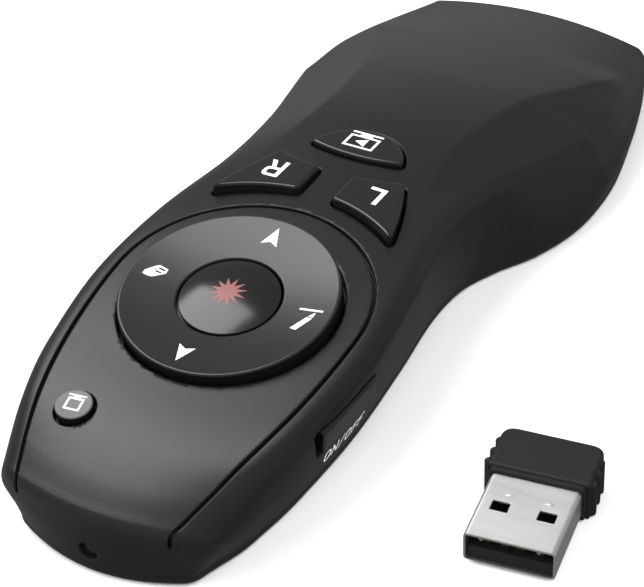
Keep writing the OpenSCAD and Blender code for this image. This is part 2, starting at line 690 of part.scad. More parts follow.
// ---- dial ----
saddle_in = 10.3;
saddle_out = 11.6;
ring_skirt = 4.95;
ring_edge = 0.2;
dish_sag = 0.35;     // how far the dish bends below a straight cone
module pin_bore(len) {
    translate([0, 0, -len/2]) cylinder(h = len, d = pin_d + 2*pin_fit, $fn = 32);
}
module pivot_saddles() color([0.85, 0.85, 0.83]) dial_frame() for (s = [-1, 1]) difference() {
    foot = (board_top(tact_shift) + 0.05 - dial_h)*cos(dial_tilt);
    translate([s > 0 ? saddle_in : -saddle_out, -1.5, foot])
        cube([saddle_out - saddle_in, 3, -pivot_depth + 1.3 - foot]);
    translate([s*(saddle_in + saddle_out)/2, 0, -pivot_depth]) rotate([0, 90, 0]) pin_bore(3);
}
module rocker_frame() color([0.85, 0.85, 0.83]) dial_frame() translate([0, 0, -pivot_depth]) {
    translate([0, 0, -0.6]) difference() {
        cylinder(h = 1.2, r = 9.7);
        translate([0, 0, -1]) cylinder(h = 4, r = 8);
    }
    for (a = [0:90:270]) rotate([0, 90, a]) translate([0, 0, 9.2])
        cylinder(h = saddle_out - 9.2, d = pin_d, $fn = 32);
}
function tact_top_local(y) =
    (board_top(y) + tact_h - dial_z(y))*cos(dial_tilt);
module dial_ring() color(gloss_colour) dial_frame() {
    r = dial_d/2;
    ri = ring_bore_d/2;
    chord = r - ri - 2*ring_edge;
    dish = [for (i = [0:8]) let (t = i/8)
        [r - ring_edge - chord*t, -dish_depth*t - dish_sag*4*t*(1 - t)]];
    rotate_extrude($fn = 96) polygon(concat(
        [[r, -ring_edge]], dish,
        [[ri, -dish_depth - ring_edge], [ri, -4.6], [ri + 1, -4.6], [ri + 1, -2.7], [r - 1.4, -2.5],
         [r - 1.4, -ring_skirt], [r - 0.1, -ring_skirt], [r - 0.1, -ring_skirt - 0.4],
         [r + 0.9, -ring_skirt - 0.4], [r + 0.9, -ring_skirt + 0.2], [r, -ring_skirt + 0.2]]
    ));
    for (s = [-1, 1]) difference() {
        translate([-1.4, s > 0 ? saddle_in : -saddle_out, -pivot_depth - 0.75])
            cube([2.8, saddle_out - saddle_in, 3.95]);
        translate([0, s*(saddle_in + saddle_out)/2, -pivot_depth]) rotate([90, 0, 0]) pin_bore(3);
    }
    for (p = [[0, -tact_reach], [0, tact_reach], [-tact_reach, 0], [tact_reach, 0]]) {
        tip = tact_top_local(p[1]) + r*sin(rock_angle) + 0.1;
        translate([p[0], p[1], tip]) cylinder(h = -ring_skirt - tip + 0.2, r = 0.7, $fn = 24);
    }
}
module laser_button() color(gloss_colour) dial_frame() {
    r = ring_bore_d/2 - key_gap;
    rim = -dish_depth - 0.1;
    tip = tact_top_local(0) + key_travel + 0.1;
    foot = -5.8;
    rotate_extrude($fn = 72) polygon(concat(
        [[0, tip], [1, tip], [1, -3.2], [r - 1.2, -3.2], [r - 1.2, foot]],
        [[r + 0.55, foot], [r + 0.55, foot + 0.55], [r, foot + 0.55]],
        [[r, rim - 0.15]],
        [for (i = [0:8]) let (t = 1 - i/8) [(r - 0.12)*t, rim + dome_rise*(1 - t*t)]]
    ));
}

// ---- keys ----
click_skirt = 1.1;   // how far a key's flange reaches under the shell
key_fall = 3;        // the key tops fall towards the palm, in degrees
key_crown_r = 190;   // and crown across the body
stem_gap = 0.12;     // between a key's stem, pressed, and its switch
module key_solid(flange_top, stem) {
    intersection() {
        translate([0, 0, flange_top - 0.01]) linear_extrude(key_h - flange_top + 1) children(0);
        translate([0, key_arc_r, key_h]) rotate([-90 - key_fall, 0, 0]) translate([0, key_crown_r, -25])
            cylinder(h = 60, r = key_crown_r, $fn = 720);
    }
    translate([0, 0, flange_top - flange_t]) linear_extrude(flange_t) children(1);
    tip = board_top(stem[1]) + tact_h + key_travel + stem_gap;
    translate([stem[0], stem[1], tip])
        cylinder(h = flange_top - flange_t/2 - tip, r = 1.1, $fn = 24);
}
click_flange = peak_h - wall - 1.4;
show_flange = peak_h - wall - 1.3;
module left_click_key() color(key_colour) key_solid(click_flange, tact_places[5]) {
    click_outline();
    intersection() {
        click_outline(click_skirt);
        translate([key_split/2 - 1, key_arc_r - 5.3]) square([20, 20]);
    }
}
module right_click_key() color(key_colour) key_solid(click_flange, tact_places[6]) {
    mirror([1, 0]) click_outline();
    mirror([1, 0]) intersection() {
        click_outline(click_skirt);
        translate([key_split/2 - 1, key_arc_r - 5.3]) square([20, 20]);
    }
}
module slide_show_key() color(key_colour) key_solid(show_flange, tact_places[7]) {
    show_outline();
    show_outline(0.9);
}
blank_rise = 0.8;
module blank_frame() {
    translate([blank_x, blank_y, top_z(blank_y, blank_x) + blank_rise]) rotate([dial_tilt, 0, 0]) children();
}
module blank_key() color([0.45, 0.43, 0.42]) blank_frame() {
    cap_h = blank_rise + wall + 0.65;
    drop = top_z(blank_y, blank_x) + blank_rise - board_top(blank_y) - tact_h;
    tip = -drop + key_travel + stem_gap;
    difference() {
        translate([0, 0, -cap_h]) cylinder(h = cap_h, d = blank_d);
        difference() {
            translate([0, 0, -0.3]) cylinder(h = 1, d = blank_d + 1);
            translate([0, 0, -0.4]) cylinder(h = 1.5, r1 = blank_d/2 + 0.1, r2 = blank_d/2 - 1.4);
        }
    }
    translate([0, 0, -cap_h - 0.6]) cylinder(h = 0.6, d = blank_d + 2);
    translate([0, 0.6, tip]) cylinder(h = -cap_h - tip, r = 1, $fn = 24);
}

module power_slider() color(key_colour) {
    slider_frame() slider_slab(0, 0, -slider_t, 0);
    translate([lever_x, slider_y - lever_w/2, lever_z - lever_t/2])
        cube([slider_x - 1.4 - lever_x, lever_w, lever_t]);
}

// ---- receiver ----
plug_z = hub_t/2;
hub_edge = 0.7;      // height of the housing's rounded edges
rib_count = 3;
rib_step = 2.1;
rib_r = 0.75;
collar = 0.45;
module receiver_frame() {
    translate([receiver_x, receiver_y, 0]) rotate(receiver_turn) children();
}
module hub_outline(w) {
    hull() {
        translate([-w/2, 0]) square([w, 1]);
        for (s = [-1, 1]) translate([s*(w/2 - 2), hub_l - 2]) circle(2, $fn = 32);
    }
}
module receiver_housing() color(gloss_colour) receiver_frame() translate([0, plug_l, 0]) difference() {
    union() {
        translate([0, 0, hub_edge]) linear_extrude(hub_t - 2*hub_edge) hub_outline(hub_w - 0.8);
        linear_extrude(hub_t) offset(r = -0.5) hub_outline(hub_w - 0.8);
        for (s = [-1, 1]) for (i = [0:rib_count - 1])
            translate([s*(hub_w/2 - rib_r - i*0.1), 1.1 + i*rib_step, hub_edge])
                cylinder(h = hub_t - 2*hub_edge, r = rib_r, $fn = 24);
        translate([-plug_w/2 - collar, -0.7, plug_z - plug_t/2 - collar])
            cube([plug_w + 2*collar, 1.4, plug_t + 2*collar]);
    }
    translate([-plug_w/2 - 0.05, -2, plug_z - plug_t/2 - 0.05])
        cube([plug_w + 0.1, hub_l - 0.4, plug_t + 0.1]);
}
window_w = 2.2;
window_l = 1.8;
window_x = 3.15;
module receiver_plug() color(steel_colour) receiver_frame() difference() {
    translate([0, 0, plug_z]) rotate([-90, 0, 0]) linear_extrude(plug_l + 3) offset(r = 0.5, $fn = 32)
        square([plug_w - 1, plug_t - 1], center = true);
    translate([0, -1, plug_z]) rotate([-90, 0, 0]) linear_extrude(plug_l + 8) offset(r = 0.2, $fn = 32)
        square([plug_w - 2*plug_sheet - 0.4, plug_t - 2*plug_sheet - 0.4], center = true);
    for (s = [-1, 1]) translate([s*window_x - window_w/2, 5.2, -1])
        cube([window_w, window_l, hub_t + 5]);
}
blade_t = 1.8;
blade_low = plug_z - plug_t/2 + plug_sheet + 0.02;
blade_w = plug_w - 2*plug_sheet - 0.2;
module receiver_tongue() color([0.1, 0.1, 0.1]) receiver_frame()
    translate([-blade_w/2, 0.5, blade_low]) cube([blade_w, plug_l + 2, blade_t]);
module receiver_contacts() color(brass_colour) receiver_frame() for (x = [-3.5, -1, 1, 3.5])
    translate([x - 0.5, 1.6, blade_low + blade_t]) cube([1, plug_l + 0.9, 0.2]);
module receiver_board() color(board_colour) receiver_frame()
    translate([-5.2, plug_l + 2.8, blade_low + 0.3]) cube([10.4, hub_l - 5.4, 0.8]);

top_shell();
front_cover();
bottom_shell();
battery_door();
case_screws();
main_board();
board_chips();
tact_switches();
power_switch();
board_screws();
laser_barrel();
laser_window();
left_cell();
right_cell();
cell_springs();
cell_bridge();
pivot_saddles();
rocker_frame();
dial_ring();
laser_button();
left_click_key();
right_click_key();
slide_show_key();
blank_key();
power_slider();
receiver_housing();
receiver_plug();
receiver_tongue();
receiver_contacts();
receiver_board();
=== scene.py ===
import math

import bmesh
import bpy
import numpy as np
from mathutils import Matrix, Vector
from mathutils.geometry import delaunay_2d_cdt


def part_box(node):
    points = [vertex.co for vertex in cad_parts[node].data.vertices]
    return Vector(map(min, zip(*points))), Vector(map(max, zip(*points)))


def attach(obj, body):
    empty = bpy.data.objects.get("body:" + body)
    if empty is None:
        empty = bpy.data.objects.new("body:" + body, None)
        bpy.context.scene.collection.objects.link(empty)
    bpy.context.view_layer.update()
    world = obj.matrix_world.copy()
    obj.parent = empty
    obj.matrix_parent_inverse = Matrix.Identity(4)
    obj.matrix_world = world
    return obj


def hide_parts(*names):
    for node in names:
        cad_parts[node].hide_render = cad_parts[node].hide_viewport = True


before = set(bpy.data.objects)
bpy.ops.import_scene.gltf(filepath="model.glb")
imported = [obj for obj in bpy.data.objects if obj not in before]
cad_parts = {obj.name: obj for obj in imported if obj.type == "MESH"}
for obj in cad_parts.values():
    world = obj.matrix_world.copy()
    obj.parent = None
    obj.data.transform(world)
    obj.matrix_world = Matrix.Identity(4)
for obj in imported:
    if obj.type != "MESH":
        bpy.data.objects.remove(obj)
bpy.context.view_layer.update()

mm = 0.001  # one millimetre; every size below is in millimetres
beyond = 10.0  # how far a cutting tool runs on past what it cuts


def cadBox(node):
    # the low and the high corner of a solid
    return [np.array(end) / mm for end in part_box(node)]


def fade(a, b, value):
    # 0 before a, 1 after b, and the smooth cubic 3t^2 - 2t^3 between them
    t = np.clip((value - a) / (b - a), 0, 1)
    return t * t * (3 - 2 * t)


def unit(vectors):
    # each vector over its own length
    return vectors / np.linalg.norm(vectors, axis=-1, keepdims=True)


def knotCurve(knots, place):
    # a cubic between each two knots; the slope at a knot is that of the line between its neighbours,
    # and a knot given twice is a corner
    k = np.asarray(knots, float)
    place = np.clip(place, k[0, 0], k[-1, 0])
    index = np.arange(len(k))
    before = np.maximum(index - 1, 0)
    after = np.minimum(index + 1, len(k) - 1)
    slope = (k[after, 1] - k[before, 1]) / (k[after, 0] - k[before, 0])
    i = np.clip(np.searchsorted(k[:, 0], place, side="right") - 1, 0, len(k) - 2)
    width = k[i + 1, 0] - k[i, 0]
    t = (place - k[i, 0]) / width
    rise = (2 * t**3 - 3 * t**2 + 1) * k[i, 1] + (3 * t**2 - 2 * t**3) * k[i + 1, 1]
    lean = (t**3 - 2 * t**2 + t) * slope[i] + (t**3 - t**2) * slope[i + 1]
    return rise + width * lean


def parabola(t, start, control, end):
    # the curve from start, t = 0, to end, t = 1, that is tangent to both lines through control
    return (1 - t) ** 2 * start + 2 * t * (1 - t) * control + t * t * end


def quarter(start, control, end, steps=9):
    # points along that parabola
    return parabola(np.linspace(0, 1, steps)[:, None], *np.array([start, control, end], float))


def arcPoints(centre, radius, start, end, steps):
    # points on a circle from one angle to another, in degrees
    a = np.radians(np.linspace(start, end, steps))
    return np.asarray(centre, float) + radius * np.stack([np.cos(a), np.sin(a)], -1)


def arcBetween(centre, radius, first, last, steps):
    # points on a circle from one of its points to another
    start, end = (math.degrees(math.atan2(p[1] - centre[1], p[0] - centre[0])) for p in (first, last))
    return arcPoints(centre, radius, start, end, steps)


def circleOutline(radius, centre=(0, 0), steps=180):
    # a closed circle, anticlockwise from its right end
    return arcPoints(centre, radius, 0, 360, steps + 1)[:-1]


def circlesMeet(c1, r1, c2, r2, side):
    # the point where two circles cross, on the left (+1) or right (-1) of the line from c1 to c2
    c1, c2 = np.asarray(c1, float), np.asarray(c2, float)
    gap = np.linalg.norm(c2 - c1)
    along = (gap * gap + r1 * r1 - r2 * r2) / (2 * gap)
    ex = (c2 - c1) / gap
    ey = np.array([-ex[1], ex[0]])
    return c1 + along * ex + side * math.sqrt(r1 * r1 - along * along) * ey


def alongLine(points, places):
    # points at the given arc lengths of a polyline
    lengths = np.concatenate([[0], np.cumsum(np.linalg.norm(np.diff(points, axis=0), axis=1))])
    return np.stack([np.interp(places, lengths, points[:, i]) for i in range(points.shape[1])], -1)


def softOutline(sides, radii, sideSteps=24, cornerSteps=8):
    # a closed outline from its sides; each corner after a side is cut back by its radius along both sides
    # and bridged by the parabola that is tangent to them
    parts = []
    t = np.linspace(0, 1, cornerSteps + 1)[1:-1, None]
    for i, side in enumerate(sides):
        length = np.linalg.norm(np.diff(side, axis=0), axis=1).sum()
        start = alongLine(sides[(i + 1) % len(sides)], [radii[i]])
        parts.append(alongLine(side, np.linspace(radii[i - 1], length - radii[i], sideSteps)))
        parts.append(parabola(t, parts[-1][-1:], side[-1:], start))
    return np.concatenate(parts)


def polygonSides(corners):
    # the straight side from each corner to the next
    corners = np.asarray(corners, float)
    return list(np.stack([corners, np.roll(corners, -1, 0)], 1))


def rectangle(low, high):
    # four corners, anticlockwise from the lower left one
    return np.array([low, (high[0], low[1]), high, (low[0], high[1])], float)


def roundedRectangle(width, height, radius, steps=8):
    # a rectangle about the middle with softened corners
    low = np.array([-width / 2, -height / 2])
    return softOutline(polygonSides(rectangle(low, -low)), [radius] * 4, sideSteps=10, cornerSteps=steps)


def outwardNormals(outline):
    # the unit normal at each point of a closed flat outline that runs anticlockwise
    tangent = unit(np.roll(outline, -1, 0) - np.roll(outline, 1, 0))
    return np.stack([tangent[:, 1], -tangent[:, 0]], -1)


def raised(flat, height):
    # points over a flat outline, at one height or at one for each point
    return np.column_stack([flat, np.broadcast_to(height, len(flat))])


def turned(points, tilt=0, lean=0, turn=0, origin=(0, 0, 0)):
    # turned about X by tilt, then about Y by lean, then about Z by turn, in degrees, and moved to origin
    spin = Matrix.Rotation(math.radians(turn), 3, "Z") @ Matrix.Rotation(math.radians(lean), 3, "Y")
    spin = spin @ Matrix.Rotation(math.radians(tilt), 3, "X")
    return np.asarray(points, float) @ np.array(spin).T + np.asarray(origin, float)


def asIs(points):
    return points


def linkObject(name, data):
    # a new object at the origin, in the scene
    item = bpy.data.objects.new(name, data)
    bpy.context.scene.collection.objects.link(item)
    return item


def meshObject(name, points, faces):
    # a mesh from points in millimetres
    mesh = bpy.data.meshes.new(name)
    mesh.from_pydata((np.asarray(points, float).reshape(-1, 3) * mm).tolist(), [], [list(f) for f in faces])
    mesh.validate()
    return linkObject(name, mesh)


def gridFaces(rows, columns, wrapColumns=False, wrapRows=False, first=0):
    # four-sided faces between neighbouring rows and columns of a grid of points
    i, j = np.meshgrid(
        np.arange(rows if wrapRows else rows - 1),
        np.arange(columns if wrapColumns else columns - 1),
        indexing="ij",
    )
    down, right = (i + 1) % rows, (j + 1) % columns
    quads = [i * columns + j, i * columns + right, down * columns + right, down * columns + j]
    return (first + np.stack(quads, -1).reshape(-1, 4)).tolist()


def fanFaces(ring, pole, flip=False):
    # three-sided faces from a pole to each edge of a closed ring of point numbers
    after = np.roll(ring, -1)
    order = [np.full(len(ring), pole), after, ring] if flip else [np.full(len(ring), pole), ring, after]
    return np.stack(order, -1).tolist()


def closedLoft(name, rings, plates=False):
    # a closed skin through rings of equal length; the end rings are closed by a pole at their middle,
    # or by one flat face
    rows, columns = rings.shape[:2]
    faces = gridFaces(rows, columns, wrapColumns=True)
    points = rings.reshape(-1, 3)
    firstRing, lastRing = np.arange(columns), (rows - 1) * columns + np.arange(columns)
    if plates:
        faces += [firstRing[::-1].tolist(), lastRing.tolist()]
    else:
        faces += fanFaces(firstRing, len(points), flip=True) + fanFaces(lastRing, len(points) + 1)
        points = np.concatenate([points, rings[0].mean(0)[None], rings[-1].mean(0)[None]])
    return outwards(meshObject(name, points, faces))


def stacked(name, levels, place=asIs, plates=True):
    # a closed skin through flat outlines, each given as (outline, height)
    return closedLoft(name, place(np.stack([raised(flat, height) for flat, height in levels])), plates)


def revolved(profile, steps):
    # a profile of radius and height carried round the Z axis
    a = np.linspace(0, 2 * np.pi, steps, endpoint=False)
    radius, height = (v[:, None] for v in np.asarray(profile, float).T)
    return np.stack([radius * np.cos(a), radius * np.sin(a), height + 0 * a], -1)


def quarterLevels(radius, steps=7):
    # (inset, height) up the quarter circle from a flat underside to an upright wall
    a = np.radians(np.linspace(90, 0, steps))
    return [(radius * (1 - math.cos(v)), radius * (1 - math.sin(v))) for v in a]


def outwards(piece):
    # makes every face of a closed mesh point outwards
    work = bmesh.new()
    work.from_mesh(piece.data)
    bmesh.ops.recalc_face_normals(work, faces=work.faces)
    work.to_mesh(piece.data)
    work.free()
    return piece


def joinPieces(piece, others):
    # puts the meshes of others into piece as they are
    work = bmesh.new()
    work.from_mesh(piece.data)
    for other in others:
        work.from_mesh(other.data)
        bpy.data.objects.remove(other)
    work.to_mesh(piece.data)
    work.free()


def carve(piece, tools, operation="DIFFERENCE"):
    # cuts piece by each tool, or joins or crosses it with each, and removes the tools
    for tool in tools:
        step = piece.modifiers.new("cut", "BOOLEAN")
        step.operation = operation
        step.solver = "EXACT"
        step.object = tool
        bpy.context.view_layer.update()
        done = bpy.data.meshes.new_from_object(piece.evaluated_get(bpy.context.evaluated_depsgraph_get()))
        piece.modifiers.clear()
        old = piece.data
        piece.data = done
        done.name = old.name + "Cut"
        bpy.data.meshes.remove(old)
        bpy.data.objects.remove(tool)


def boxPiece(name, start, end):
    # a closed box between two opposite corners, given in any order
    low, high = np.minimum(start, end), np.maximum(start, end)
    corners = np.array([[x, y, z] for x in (0, 1) for y in (0, 1) for z in (0, 1)])
    faces = [(0, 1, 3, 2), (4, 6, 7, 5), (0, 4, 5, 1), (2, 3, 7, 6), (0, 2, 6, 4), (1, 5, 7, 3)]
    return outwards(meshObject(name, low + corners * (high - low), faces))


def finishPiece(piece, body, material, node=None, angle=32, flat=False):
    # smooth shading, with edges sharper than angle kept crisp; flat lets the largest faces set the smooth
    # normals, so flat sheets stay flat beside small edges
    mesh = piece.data
    mesh.polygons.foreach_set("use_smooth", np.ones(len(mesh.polygons), bool))
    mesh.set_sharp_from_angle(angle=math.radians(angle))
    mesh.update()
    if flat:
        piece.modifiers.new("flatFaces", "WEIGHTED_NORMAL").keep_sharp = True
    mesh.materials.clear()
    mesh.materials.append(material)
    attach(piece, body)
    if node:
        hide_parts(node)


def feed(tree, node, values):
    # each value is a number, or a socket to link to the node's input of that name
    for key, value in values.items():
        if isinstance(value, bpy.types.NodeSocket):
            tree.links.new(value, node.inputs[key])
        else:
            node.inputs[key].default_value = value


def addNode(tree, kind, values=None, **settings):
    # a shader node with its settings and the values of its inputs
    node = tree.nodes.new("ShaderNode" + kind)
    for key, value in settings.items():
        setattr(node, key, value)
    feed(tree, node, values or {})
    return node


def mathNode(tree, operation, *values):
    return addNode(tree, "Math", dict(enumerate(values)), operation=operation).outputs[0]


def newGroup(name, inputs, outputs):
    # a shader group whose named inputs and outputs are all numbers
    group = bpy.data.node_groups.new(name, "ShaderNodeTree")
    for labels, side in ((inputs, "INPUT"), (outputs, "OUTPUT")):
        for label in labels:
            group.interface.new_socket(label, in_out=side, socket_type="NodeSocketFloat")
    return group, group.nodes.new("NodeGroupInput").outputs, group.nodes.new("NodeGroupOutput")


effectShape = {
    "facetShare": 0.5,
    "patchesPerMetre": 60.0,
    "fineTone": 0.35,
    "smearsPerMetre": 140.0,
    "hairsPerMetre": (60.0, 1400.0, 400.0),
    "hairTurn": 0.7,
    "marksMiddle": 0.9,
}


def makeGrainGroup():
    # spark-eroded mould texture: fine noise over small flat cells, with slow changes of tone and polish
    inputs = ["Cells per metre", "Tone change", "Roughness", "Polish change"]
    group, source, result = newGroup("mouldGrain", inputs, ["Height", "Tone", "Roughness"])
    e = effectShape
    place = addNode(group, "TexCoord").outputs["Object"]
    cells = {"Vector": place, "Scale": source["Cells per metre"]}
    fine = addNode(group, "TexNoise", {**cells, "Detail": 3.0, "Roughness": 0.6}).outputs["Fac"]
    facets = addNode(group, "TexVoronoi", cells).outputs["Distance"]
    slow = addNode(group, "TexNoise", {"Vector": place, "Scale": e["patchesPerMetre"], "Detail": 4.0})
    slowShift = mathNode(group, "SUBTRACT", slow.outputs["Fac"], 0.5)
    fineShift = mathNode(group, "MULTIPLY", mathNode(group, "SUBTRACT", fine, 0.5), e["fineTone"])
    shift = mathNode(group, "ADD", slowShift, fineShift)
    polish = mathNode(group, "MULTIPLY_ADD", slowShift, source["Polish change"], source["Roughness"])
    feed(group, result, {
        "Height": mathNode(group, "MULTIPLY_ADD", facets, e["facetShare"], fine),
        "Tone": mathNode(group, "MULTIPLY_ADD", shift, source["Tone change"], 1.0),
        "Roughness": polish,
    })
    return group


def makeMarksGroup():
    # handling marks: faint fingertip smears and hairlines that only change the polish
    group, source, result = newGroup("handlingMarks", ["Roughness", "Strength"], ["Roughness", "Height"])
    e = effectShape
    place = addNode(group, "TexCoord").outputs["Object"]
    smearLook = {"Vector": place, "Scale": e["smearsPerMetre"], "Detail": 5.0, "Distortion": 0.6}
    smear = addNode(group, "TexNoise", smearLook).outputs["Fac"]
    hairLook = {"Vector": place, "Scale": e["hairsPerMetre"], "Rotation": (0.0, 0.0, e["hairTurn"])}
    stretched = addNode(group, "Mapping", hairLook).outputs["Vector"]
    hair = addNode(group, "TexNoise", {"Vector": stretched, "Scale": 1.0, "Detail": 2.0}).outputs["Fac"]
    marks = mathNode(group, "SUBTRACT", mathNode(group, "ADD", smear, hair), e["marksMiddle"])
    rough = mathNode(group, "MULTIPLY_ADD", marks, source["Strength"], source["Roughness"])
    feed(group, result, {"Roughness": rough, "Height": hair})
    return group


mouldGrain = makeGrainGroup()
handlingMarks = makeMarksGroup()
print("shared effects ready")


def startMaterial(name, look):
    # a plain surface with the constant values of its look
    material = bpy.data.materials.new(name)
    material.use_nodes = True
    material.diffuse_color = (*look["colour"], 1)
    tree = material.node_tree
    shader = tree.nodes["Principled BSDF"]
    feed(tree, shader, {"Base Color": (*look["colour"], 1), "Roughness": look["roughness"]})
    for key, socket in (("specular", "Specular IOR Level"), ("metallic", "Metallic")):
        if key in look:
            shader.inputs[socket].default_value = look[key]
    return material, tree, shader


def addBump(tree, shader, height, distance):
    # turns the normal by the slope of height over distance, in metres
    bump = addNode(tree, "Bump", {"Distance": distance, "Strength": 1.0, "Height": height})
    feed(tree, shader, {"Normal": bump.outputs["Normal"]})


def mouldedPlastic(name, look):
    # textured plastic straight from the mould, whose colour is multiplied by a tone that changes slowly
    material, tree, shader = startMaterial(name, look)
    values = {
        "Cells per metre": look["cells"],
        "Tone change": look["toneChange"],
        "Roughness": look["roughness"],
        "Polish change": look["polishChange"],
    }
    grain = addNode(tree, "Group", values, node_tree=mouldGrain)
    mixed = {0: look["colour"], "Scale": grain.outputs["Tone"]}
    mix = addNode(tree, "VectorMath", mixed, operation="SCALE")
    feed(tree, shader, {"Base Color": mix.outputs[0], "Roughness": grain.outputs["Roughness"]})
    addBump(tree, shader, grain.outputs["Height"], look["depth"])
    return material


def polished(name, **look):
    # glossy plastic, or metal where there is a depth of brushed lines, with faint handling marks
    material, tree, shader = startMaterial(name, look)
    values = {"Roughness": look["roughness"], "Strength": look["marks"]}
    marks = addNode(tree, "Group", values, node_tree=handlingMarks)
    feed(tree, shader, {"Roughness": marks.outputs["Roughness"]})
    if "depth" in look:
        addBump(tree, shader, marks.outputs["Height"], look["depth"])
    return material


def metal(name, colour, roughness, marks, depth=0.000004):
    # rolled or plated metal with brushed lines
    return polished(name, colour=colour, roughness=roughness, marks=marks, depth=depth, metallic=1.0)


usualPlastic = dict(
    cells=4200, toneChange=0.16, roughness=0.5, polishChange=0.05, specular=0.4, depth=0.00001
)
usualKey = dict(usualPlastic, cells=5200, toneChange=0.1, depth=0.000006)
usualPrint = dict(usualPlastic, cells=6000, depth=0.000004)
plasticLooks = {
    "body": dict(usualPlastic, colour=(0.0065, 0.0065, 0.0067), roughness=0.34, specular=0.42),
    "cover": dict(usualPlastic, colour=(0.0075, 0.0075, 0.0077), roughness=0.33, specular=0.45),
    "key": dict(usualKey, colour=(0.0055, 0.0055, 0.0057), roughness=0.22, polishChange=0.04, specular=0.6),
    "roundKey": dict(usualKey, colour=(0.090, 0.083, 0.081), roughness=0.42, specular=0.5),
    "receiver": dict(usualPlastic, colour=(0.0065, 0.0065, 0.0068), toneChange=0.14, polishChange=0.06),
    "inner": dict(usualPlastic, colour=(0.60, 0.60, 0.57), cells=3000, toneChange=0.06, specular=0.5),
    "board": dict(
        colour=(0.012, 0.090, 0.035), cells=2500, toneChange=0.25, roughness=0.3, polishChange=0.1,
        specular=0.5, depth=0.000008,
    ),
    "chip": dict(usualPlastic, colour=(0.0080, 0.0080, 0.0085), cells=3500, toneChange=0.1, roughness=0.6),
    "legend": dict(usualPrint, colour=(0.80, 0.80, 0.80), toneChange=0.08),
    "legendRed": dict(usualPrint, colour=(0.22, 0.085, 0.085), toneChange=0.8, roughness=0.45),
    "cell": dict(
        colour=(0.42, 0.28, 0.08), cells=1500, toneChange=0.2, roughness=0.3, polishChange=0.1,
        specular=0.6, depth=0.000005,
    ),
}
plastics = {name: mouldedPlastic(name + "Plastic", look) for name, look in plasticLooks.items()}
glossBlack = polished("dialGloss", colour=(0.011, 0.011, 0.0108), roughness=0.2, marks=0.04, specular=0.45)
# painted shade: a darker copy of the dial's gloss, for side walls that sit in the shade of their gaps
wallShadeBlack = polished("dialWallShade", colour=(0.004, 0.004, 0.004), roughness=0.3, marks=0.04, specular=0.35)
buttonBlack = polished(
    "buttonGloss", colour=(0.0055, 0.0048, 0.0046), roughness=0.17, marks=0.04, specular=0.55
)
windowDark = polished("windowDark", colour=(0.006, 0.0035, 0.0035), roughness=0.05, marks=0.02, specular=0.8)
plugSteel = metal("plugSteel", (0.93, 0.93, 0.92), 0.4, 0.12)
screwSteel = metal("screwSteel", (0.55, 0.55, 0.57), 0.3, 0.1)
contactMetal = metal("contactMetal", (0.85, 0.70, 0.36), 0.22, 0.08, depth=0.000003)
brass = metal("barrelBrass", (0.72, 0.52, 0.22), 0.3, 0.1)
print("materials ready")


def paintWallShade(piece, wall):
    # painted shade: the faces picked by wall take a darker copy of the gloss, for side walls that lie in
    # shade down in their gaps
    piece.data.materials.append(wallShadeBlack)
    piece.data.polygons.foreach_set("material_index", wall.astype(int))


bodyShape = {
    "noseY": cadBox("front_cover")[0][1],
    "tailY": cadBox("top_shell")[1][1],
    "cornerY": 64.5,
    "shoulderWidth": 44.2,
    "waistWidth": 33.2,
    "palmWidth": 54.0,
    "peakHeight": 19.5,
    "frontHeight": 10.2,
    "tailHeight": 7.8,
    "dialHeight": 19.5,
    "seamHeight": 2.0,
    "wall": 1.4,
    "noseRound": 1.6,
    "noseLean": 22.0,
    "tailRound": 1.0,
    "innerRounds": (0.6, 0.2),
    "frontLowRadius": 24.0,
    "frontHighRadius": 37.0,
    "frontBowEnd": 24.0,
    "tailRadius": 95.0,
    "tailBowLength": 32.0,
    "creaseStart": (24, 44),
    "creaseEnd": (80, 90),
    "facetWidth": 1.2,
    "innerFacetWidth": 0.4,
    "leastFacetWidth": 0.2,
    "coverFoot": 7.9,
    "capShares": np.linspace(0.06, 0.94, 12),
}
nose, tail = bodyShape["noseY"], bodyShape["tailY"]
noseTurn, tailTurn = nose + bodyShape["noseRound"], tail - bodyShape["tailRound"]
shoulder, waist, palm = (bodyShape[k] / 2 for k in ("shoulderWidth", "waistWidth", "palmWidth"))
peak, dialTop, frontTop, tailTop = (bodyShape[k + "Height"] for k in ("peak", "dial", "front", "tail"))
seamZ, wall, corner = (bodyShape[k] for k in ("seamHeight", "wall", "cornerY"))
noseLean = math.radians(bodyShape["noseLean"])
